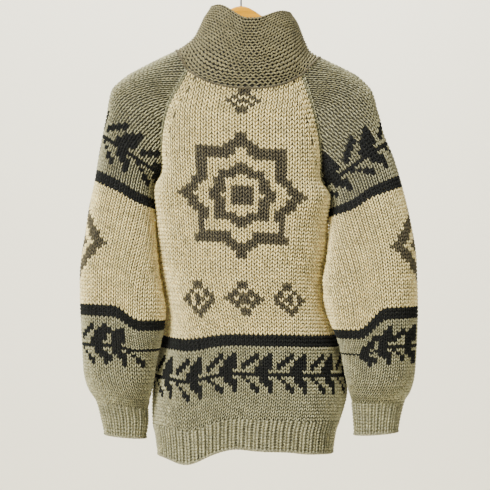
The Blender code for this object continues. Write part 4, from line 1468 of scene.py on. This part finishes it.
def knit_ribs(name, cloth, ribs, rows, knit, seed, joined_rows=0):
    """A ribbed border: columns of stitches on the ribs, loops between them and a rolled end."""
    places = even_rows(cloth, 0, CUFF_TOP, rows)
    crests, loops = Seeds(), Seeds()
    thickness = thickness_of(knit)
    for low, high in zip(places, places[1:]):
        measures = [cloth.row(place)[1] for place in (low, (low + high) / 2, high)]
        pitch = (measures[1][-1] - measures[1][0]) / ribs
        for seeds, shares, sink, width in (
            (crests, (np.arange(ribs) + 0.5) / ribs, RIB_SINK, RIB_WIDTH),
            (loops, np.arange(1, ribs) / ribs, VALLEY_SINK, VALLEY_WIDTH),
        ):
            offsets = [measure[0] + shares * (measure[-1] - measure[0]) for measure in measures]
            centre, up, facing = column_seeds(cloth, low, high, *offsets, sink)
            size = [(width * pitch, np.linalg.norm(rise), thickness) for rise in up]
            seeds.add(centre, up, facing, size, ["taupe"] * len(shares))
    chain = chain_seeds(cloth, thickness * CHAIN_WIDTH, thickness, "edge")
    columns = ribs * RIB_STEPS
    turn = 2 * pi * np.arange(columns + 1) / RIB_STEPS
    raised = RIB_WALL[0] + (RIB_WALL[1] - RIB_WALL[0]) * (1 - np.cos(turn)) / 2
    shade = one_colour(knit.taupe)
    # RIB_SHADOW darkens the wall's outside: painted shade between the ribs' stitches.
    backing = wall(name + "_cloth", cloth, places, columns, shade, knit, joined_rows, raised, RIB_SHADOW)
    details = [
        grow_stitches(name + "_ribs", crests, both_legs(RIB_LEG), knit, seed),
        grow_stitches(name + "_loops", loops, (BUMP_LEG,), knit, seed + 1),
        grow_stitches(name + "_edge", chain, both_legs(ROPE_LEG), knit, seed + 2),
    ]
    dress(backing, details, cloth, places, [name])


def collar_lines(cloth, places, unevenness):
    """The collar's wavy lines in millimetres: points, edges between them, radii and tones."""
    steps = np.linspace(0, 1, COLLAR_WAVES * COLLAR_STEPS + 1)
    points, edges, radii, tones = [], [], [], []
    rng = np.random.default_rng(81)

    def drawn(count):
        """Random values that change smoothly along a line."""
        return np.interp(steps, np.linspace(0, 1, count), rng.normal(size=count).clip(-2, 2))

    for line, (low, high) in enumerate(zip(places, places[1:])):
        measure = cloth.row((low + high) / 2)[1]
        offsets = measure[0] + COLLAR_INSET + steps * (measure[-1] - measure[0] - 2 * COLLAR_INSET)
        centre, up, facing = column_seeds(cloth, low, high, offsets, offsets, offsets, COLLAR_SINK)
        drift, pull = drawn(COLLAR_DRIFTS), drawn(COLLAR_DRIFTS)
        phase = 2 * pi * COLLAR_WAVES * steps + pi * line + COLLAR_DRIFT * drift
        swing = COLLAR_SWING * ((1 + COLLAR_PULL * pull) * np.sin(phase))[:, None] * up
        bulge = COLLAR_BULGE * np.cos(2 * phase)[:, None] * facing
        start = len(points)
        points += list(centre + swing + bulge)
        edges += [(start + index, start + index + 1) for index in range(len(steps) - 1)]
        swell = 1 + COLLAR_SWELL * np.cos(2 * phase)
        radii += list(COLLAR_YARN * np.linalg.norm(up, axis=1) * swell / 2)
        tones += list(1 + unevenness * drawn(COLLAR_WAVES))
    return points, edges, radii, tones


def edge_place(cloth, place, at_end):
    return cloth.row(place)[0][-1 if at_end else 0]


def places_up_edge(cloth, at_end, first, last, step):
    """Places up one edge of a cloth, this far apart."""
    samples = np.linspace(first, last, EDGE_SAMPLES)
    measure = lengths(np.array([edge_place(cloth, place, at_end) for place in samples]))
    count = round(measure[-1] / step)
    return np.interp(np.linspace(0, measure[-1], count + 1), measure, samples)


def edge_facing(cloth, place, at_end):
    """Which way a cloth faces just inside one of its edges."""
    measure = cloth.row(place)[1]
    offset = measure[-1] - SEAM_INSIDE if at_end else measure[0] + SEAM_INSIDE
    low, high = max(place - SEAM_REACH, 0), min(place + SEAM_REACH, len(cloth.curves) - 1)
    return column_seeds(cloth, low, high, *[np.array([offset])] * 3, 0)[2][0]


def seam_seeds(body, at_end, other, other_at_end, bounds, yarns, width, thickness):
    """Edge stitches up one edge of the body, facing between it and what is sewn to it."""
    seeds = Seeds()
    is_sleeve = len(other.curves) != len(body.curves)
    for low, high, yarn in zip(bounds, bounds[1:], yarns):
        middle = (low + high) / 2
        bottom, centre, top = (edge_place(body, place, at_end) for place in (low, middle, high))
        beside = max(middle - YOKE_START, 0) + UNDERARM if is_sleeve else middle
        facing = unit(edge_facing(body, middle, at_end) + edge_facing(other, beside, other_at_end))
        up = top - bottom
        size = [(width, np.linalg.norm(up), thickness)]
        seeds.add([centre - SEAM_SINK * facing], [up], [facing], size, [yarn])
    return seeds


def sew(name, seeds, leg, knit):
    rope = grow_stitches(name, seeds, both_legs(leg), knit, seed=91)
    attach(rope, "cardigan")


# Zip, hanger and stage

def finish_node(name, material):
    """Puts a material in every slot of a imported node."""
    for slot in frame["nodes"][name].material_slots:
        slot.material = material


def tape_edge(word, side):
    """The line along the middle of a tape's near edge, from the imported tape's own points."""
    mesh = frame["nodes"][f"zip_tape_{word}"].data
    points = np.empty(3 * len(mesh.vertices), np.float32)
    mesh.vertices.foreach_get("co", points)
    points = np.unique(np.round(points.reshape(-1, 3).astype(float) / MM, 3), axis=0)
    near = points[np.abs(points[:, 0] - ZIP_X - side * CHAIN_HALF) < SAME_PLACE]
    near = near[near[:, 2].argsort()]
    return (near[0::2] + near[1::2]) / 2


def teeth_up(word, side, shift, pitch, top):
    """Centres, ups and facings of one tape's teeth, up to below the slider's middle."""
    edge = tape_edge(word, side)
    measure = lengths(edge)
    along = np.arange(0.5 + shift, measure[-1] / pitch - 0.5) * pitch
    centre = read_at(edge, measure, along)
    along, centre = along[centre[:, 2] < top], centre[centre[:, 2] < top]
    up = unit(read_at(edge, measure, along + 1) - read_at(edge, measure, along - 1))
    facing = np.stack([np.zeros(len(up)), up[:, 2], -up[:, 1]], axis=1)
    centre[:, 0] = ZIP_X + side * TOOTH_FROM_MIDDLE
    return centre, up, facing


def plain_slab(name, size, place, tilt, material):
    built = bmesh.new()
    bmesh.ops.create_grid(built, x_segments=1, y_segments=1, size=0.5)
    placement = Matrix.Translation(place) @ Matrix.Rotation(tilt, 4, "X") @ Matrix.Diagonal((*size, 1, 1))
    bmesh.ops.transform(built, matrix=placement, verts=built.verts)
    slab = linked_mesh(name, built)
    slab.data.materials.append(material)
    return slab


# Operators

class CARDIGAN_OT_knit_back(bpy.types.Operator):
    """Knits the back in stocking stitch, with the leaf band, the stripe and the star"""

    bl_idname = "cardigan.knit_back"
    bl_label = "Knit Back"

    def execute(self, context):
        knit, cloth = context.scene.cardigan_knit, back_cloth()
        places, yarns = knit_rows(cloth, BODY_ZONES, RIB_TOP)
        split = rows_in(BODY_ZONES[:2])
        parts = (
            ("back_band_stitches", 0, split, FULL_LEG, 11),
            ("back_field_stitches", split, None, FULL_LEG, 11 + split),
        )
        details = knit_parts(cloth, places, yarns, back_yarn, knit, parts, back_margin)
        yoke = int(np.searchsorted(places, LEANING_START))
        leaning, thickness = Seeds(), thickness_of(knit)
        for from_right in (False, True):
            for distance in LEANING:
                rows = places[yoke:], yarns[yoke:]
                add_edge_column(leaning, cloth, *rows, distance, from_right, thickness)
        details.append(grow_stitches("back_raglan_columns", leaning, both_legs(FULL_LEG), knit, 31))
        cover("back", ["back_panel"], details, cloth, places, yarns, back_yarn, knit, BACK_COLUMNS)
        return {"FINISHED"}


class CARDIGAN_OT_knit_fronts(bpy.types.Operator):
    """Knits the two fronts, with the leaf band and the stripe going on from the back"""

    bl_idname = "cardigan.knit_fronts"
    bl_label = "Knit Fronts"

    def execute(self, context):
        knit = context.scene.cardigan_knit
        places, yarns = knit_rows(back_cloth(), BODY_ZONES, RIB_TOP)
        for zero, word in enumerate(SLEEVES):
            cloth, name, choose = front_cloth(word, zero), f"front_{word}", front_yarn
            parts = ((name + "_panel_stitches", 0, None, SPARE_LEG, 41 + zero),)
            details = knit_parts(cloth, places, yarns, choose, knit, parts)
            cover(name, [name + "_panel"], details, cloth, places, yarns, choose, knit, FRONT_COLUMNS)
        return {"FINISHED"}


class CARDIGAN_OT_knit_sleeves(bpy.types.Operator):
    """Knits the sleeves up from their cuffs, with two leaf bands, two stripes and a diamond"""

    bl_idname = "cardigan.knit_sleeves"
    bl_label = "Knit Sleeves"

    def execute(self, context):
        knit = context.scene.cardigan_knit
        split, cap = rows_in(SLEEVE_ZONES[:2]), rows_in(SLEEVE_ZONES[:4])
        for word in SLEEVES:
            cloth, name, choose = sleeve_cloth(word), f"sleeve_{word}", sleeve_yarn_for(word)
            places, yarns = knit_rows(cloth, SLEEVE_ZONES, CUFF_TOP)
            parts = (
                (name + "_band_stitches", 0, split, SPARE_LEG, 51),
                (name + "_middle_stitches", split, cap, SPARE_LEG, 51 + split),
                (name + "_cap_stitches", cap, None, CAP_LEG, 51 + cap),
            )
            details = knit_parts(cloth, places, yarns, choose, knit, parts)
            nodes = [f"sleeve_band_{word}", name, f"sleeve_cap_{word}"]
            joined = int(np.searchsorted(places, UNDERARM + 1e-6))
            cover(name, nodes, details, cloth, places, yarns, choose, knit, SLEEVE_COLUMNS, joined)
        return {"FINISHED"}


class CARDIGAN_OT_knit_ribs(bpy.types.Operator):
    """Knits the ribbed hem of the back and fronts and the ribbed cuffs"""

    bl_idname = "cardigan.knit_ribs"
    bl_label = "Knit Hem and Cuffs"

    def execute(self, context):
        knit, rows = context.scene.cardigan_knit, CUFF_STITCH_ROWS
        knit_ribs("back_hem_rib", back_cloth(), HEM_RIBS["back"], HEM_STITCH_ROWS, knit, seed=61)
        for zero, word in enumerate(SLEEVES):
            front, name = front_cloth(word, zero), f"front_{word}_hem_rib"
            knit_ribs(name, front, HEM_RIBS["front"], HEM_STITCH_ROWS, knit, seed=65 + zero)
            sleeve = sleeve_cloth(word)
            knit_ribs(f"cuff_{word}", sleeve, CUFF_RIBS, rows, knit, seed=71 + zero, joined_rows=rows + 1)
        return {"FINISHED"}


class CARDIGAN_OT_knit_collar(bpy.types.Operator):
    """Knits the standing collar in garter stitch, as wavy lines that mesh with each other"""

    bl_idname = "cardigan.knit_collar"
    bl_label = "Knit Collar"

    def execute(self, context):
        knit, cloth = context.scene.cardigan_knit, collar_cloth()
        places = even_rows(cloth, 0, len(COLLAR), COLLAR_LINES)
        points, edges, radii, tones = collar_lines(cloth, places, knit.unevenness)
        mesh = bpy.data.meshes.new("collar_lines")
        mesh.from_pydata([Vector(point) * MM for point in points], edges, [])
        write_points(mesh, "thick", "FLOAT", np.array(radii, np.float32) * MM)
        write_yarn(mesh, np.array(tones)[:, None] * np.array(knit.collar))
        inputs = {"Sides": 5, "Wool": wool_finish(knit)}
        lines = grow("collar_garter_lines", mesh, strand_tree(), inputs, ("thick",))
        shade = one_colour(knit.collar)
        # COLLAR_SHADOW darkens the wall's outside: painted shade between the collar's lines.
        backing = wall("collar_cloth", cloth, places, COLLAR_WAVES, shade, knit, shadow=COLLAR_SHADOW)
        dress(backing, [lines], cloth, places, ["collar"])
        return {"FINISHED"}


class CARDIGAN_OT_sew_seams(bpy.types.Operator):
    """Sews the sleeves and the sides: a line of edge stitches up each seam and round the neck"""

    bl_idname = "cardigan.sew_seams"
    bl_label = "Sew Seams"

    def execute(self, context):
        knit, back = context.scene.cardigan_knit, back_cloth()
        thickness = thickness_of(knit)
        places, yarns = knit_rows(back, BODY_ZONES, RIB_TOP)
        count = int(np.searchsorted(places, SIDE_SEAM_TOP))
        hem = even_rows(back, 0, RIB_TOP, HEM_STITCH_ROWS)
        side_bounds = [*hem[:-1], *places[: count + 1]]
        side_yarns = ["taupe"] * HEM_STITCH_ROWS + yarns[:count]
        for word in SLEEVES:
            sleeve, front = sleeve_cloth(word), front_cloth(word)
            back_last = word == "right"
            for side, body in (("back", back), ("front", front)):
                at_end = back_last == (side == "back")
                bounds = places_up_edge(body, at_end, YOKE_START - 1, BODY_TOP, SEAM_STITCH)
                yarn = ["selvedge"] * (len(bounds) - 1)
                seeds = seam_seeds(body, at_end, sleeve, not at_end, bounds, yarn, RAGLAN_WIDTH, thickness)
                sew(f"raglan_{side}_{word}", seeds, SEAM_LEG, knit)
            seeds = seam_seeds(
                back, back_last, front, not back_last, side_bounds, side_yarns, SIDE_WIDTH, thickness
            )
            sew(f"side_seam_{word}", seeds, SEAM_LEG, knit)
        # The neck seam is sewn in the dark brown yarn: a real seam, and painted shadow under the collar's
        # edge.
        seeds = chain_seeds(collar_cloth(), NECK_SEAM_WIDTH, thickness, "brown")
        sew("neck_seam", seeds, ROPE_LEG, knit)
        return {"FINISHED"}


class CARDIGAN_OT_fit_zip(bpy.types.Operator):
    """Sets teeth along both tapes and finishes the tapes, the slider, the pull and the box"""

    bl_idname = "cardigan.fit_zip"
    bl_label = "Fit Zip"

    def execute(self, context):
        zip_settings = context.scene.cardigan_zip
        metal = metal_finish("aged_brass", tuple(zip_settings.metal), 0.38)
        tape = tape_finish("woven_tape", tuple(zip_settings.tape))
        seeds = Seeds()
        slider_middle = sum(corner[2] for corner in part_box("zip_slider")) / 2 / MM
        for word, side, shift in TOOTH_ROWS:
            finish_node(f"zip_tape_{word}", tape)
            centre, up, facing = teeth_up(word, side, shift, zip_settings.pitch / MM, slider_middle)
            seeds.add(centre, up, facing, [TOOTH] * len(centre), ["metal"] * len(centre))
        tooth = yarn_mesh("tooth_shape", (TOOTH_LEG,), 4)
        mesh = seeds.mesh({"metal": (1, 1, 1)}, 0.0, 0)
        inputs = {"Stitch": tooth, "Looseness": 0.0, "Seed": 0, "Wool": metal}
        teeth = grow("zip_teeth", mesh, stitch_tree(), inputs, ("up", "facing", "size", "yarn"))
        bpy.data.objects.remove(tooth, do_unlink=True)
        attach(teeth, "cardigan")
        for node in ("zip_slider", "zip_box", "zip_pull_tab"):
            finish_node(node, metal)
        return {"FINISHED"}


class CARDIGAN_OT_finish_hanger(bpy.types.Operator):
    """Finishes the hanger's oiled wood and its steel hook"""

    bl_idname = "cardigan.finish_hanger"
    bl_label = "Finish Hanger"

    def execute(self, context):
        hanger = context.scene.cardigan_hanger
        finish_node("hanger_wood", wood_finish("oiled_beech", tuple(hanger.wood), hanger.grain))
        finish_node("hanger_hook", metal_finish("drawn_steel", tuple(hanger.steel), 0.45))
        return {"FINISHED"}


class CARDIGAN_OT_set_stage(bpy.types.Operator):
    """Sets the floor, the wall, the lights and the camera"""

    bl_idname = "cardigan.set_stage"
    bl_label = "Set Stage"

    def execute(self, context):
        stage = context.scene.cardigan_stage
        for name, size, place, tilt in SLABS:
            plain_slab(name, size, place, tilt, wall_finish(name, tuple(stage.wall_colour)))
        world = bpy.data.worlds.new("studio")
        context.scene.world = world
        world.use_nodes = True
        background = next(node for node in world.node_tree.nodes if node.type == "BACKGROUND")
        background.inputs["Color"].default_value = FILL_COLOUR
        background.inputs["Strength"].default_value = stage.fill
        for name, power, size, place, target in LIGHTS:
            light = bpy.data.lights.new(name, "AREA")
            light.energy = power * stage.brightness
            light.shape = "SQUARE"
            light.size = size
            lamp = linked(name, light)
            lamp.location = place
            lamp.rotation_euler = (Vector(target) - Vector(place)).to_track_quat("-Z", "Y").to_euler()
        lens = bpy.data.cameras.new("camera")
        lens.sensor_width = SENSOR
        lens.sensor_fit = "HORIZONTAL"
        lens.lens = SENSOR * stage.distance / stage.frame_width
        lens.clip_start, lens.clip_end = 0.05, 50
        camera = linked("camera", lens)
        camera.location = (CAMERA_X, -stage.distance, CAMERA_Z)
        camera.rotation_euler = (pi / 2, 0, 0)
        context.scene.camera = camera
        return {"FINISHED"}


class CARDIGAN_PT_panel(bpy.types.Panel):
    """Lists the cardigan's settings and what makes each piece"""

    bl_idname = "CARDIGAN_PT_panel"
    bl_label = "Cardigan"
    bl_space_type = "VIEW_3D"
    bl_region_type = "UI"
    bl_category = "Cardigan"

    def draw(self, context):
        for label, settings in SETTINGS:
            box = self.layout.box()
            box.label(text=label.removeprefix("cardigan_").title())
            values = getattr(context.scene, label)
            for key in settings.__annotations__:
                box.prop(values, key)
        for operator in OPERATORS:
            self.layout.operator(operator.bl_idname)


SETTINGS = (
    ("cardigan_knit", KnitSettings),
    ("cardigan_zip", ZipSettings),
    ("cardigan_hanger", HangerSettings),
    ("cardigan_stage", StageSettings),
)
OPERATORS = (
    CARDIGAN_OT_knit_back,
    CARDIGAN_OT_knit_fronts,
    CARDIGAN_OT_knit_sleeves,
    CARDIGAN_OT_knit_ribs,
    CARDIGAN_OT_knit_collar,
    CARDIGAN_OT_sew_seams,
    CARDIGAN_OT_fit_zip,
    CARDIGAN_OT_finish_hanger,
    CARDIGAN_OT_set_stage,
)


def register():
    for label, settings in SETTINGS:
        bpy.utils.register_class(settings)
        setattr(bpy.types.Scene, label, bpy.props.PointerProperty(type=settings))
    for item in (*OPERATORS, CARDIGAN_PT_panel):
        bpy.utils.register_class(item)


def unregister():
    for item in (CARDIGAN_PT_panel, *reversed(OPERATORS)):
        bpy.utils.unregister_class(item)
    for label, settings in reversed(SETTINGS):
        delattr(bpy.types.Scene, label)
        bpy.utils.unregister_class(settings)


def main():
    register()
    bpy.ops.cardigan.knit_back()
    bpy.ops.cardigan.knit_fronts()
    bpy.ops.cardigan.knit_sleeves()
    bpy.ops.cardigan.knit_ribs()
    bpy.ops.cardigan.knit_collar()
    bpy.ops.cardigan.sew_seams()
    bpy.ops.cardigan.fit_zip()
    bpy.ops.cardigan.finish_hanger()
    bpy.ops.cardigan.set_stage()


if __name__ == "__main__":
    main()
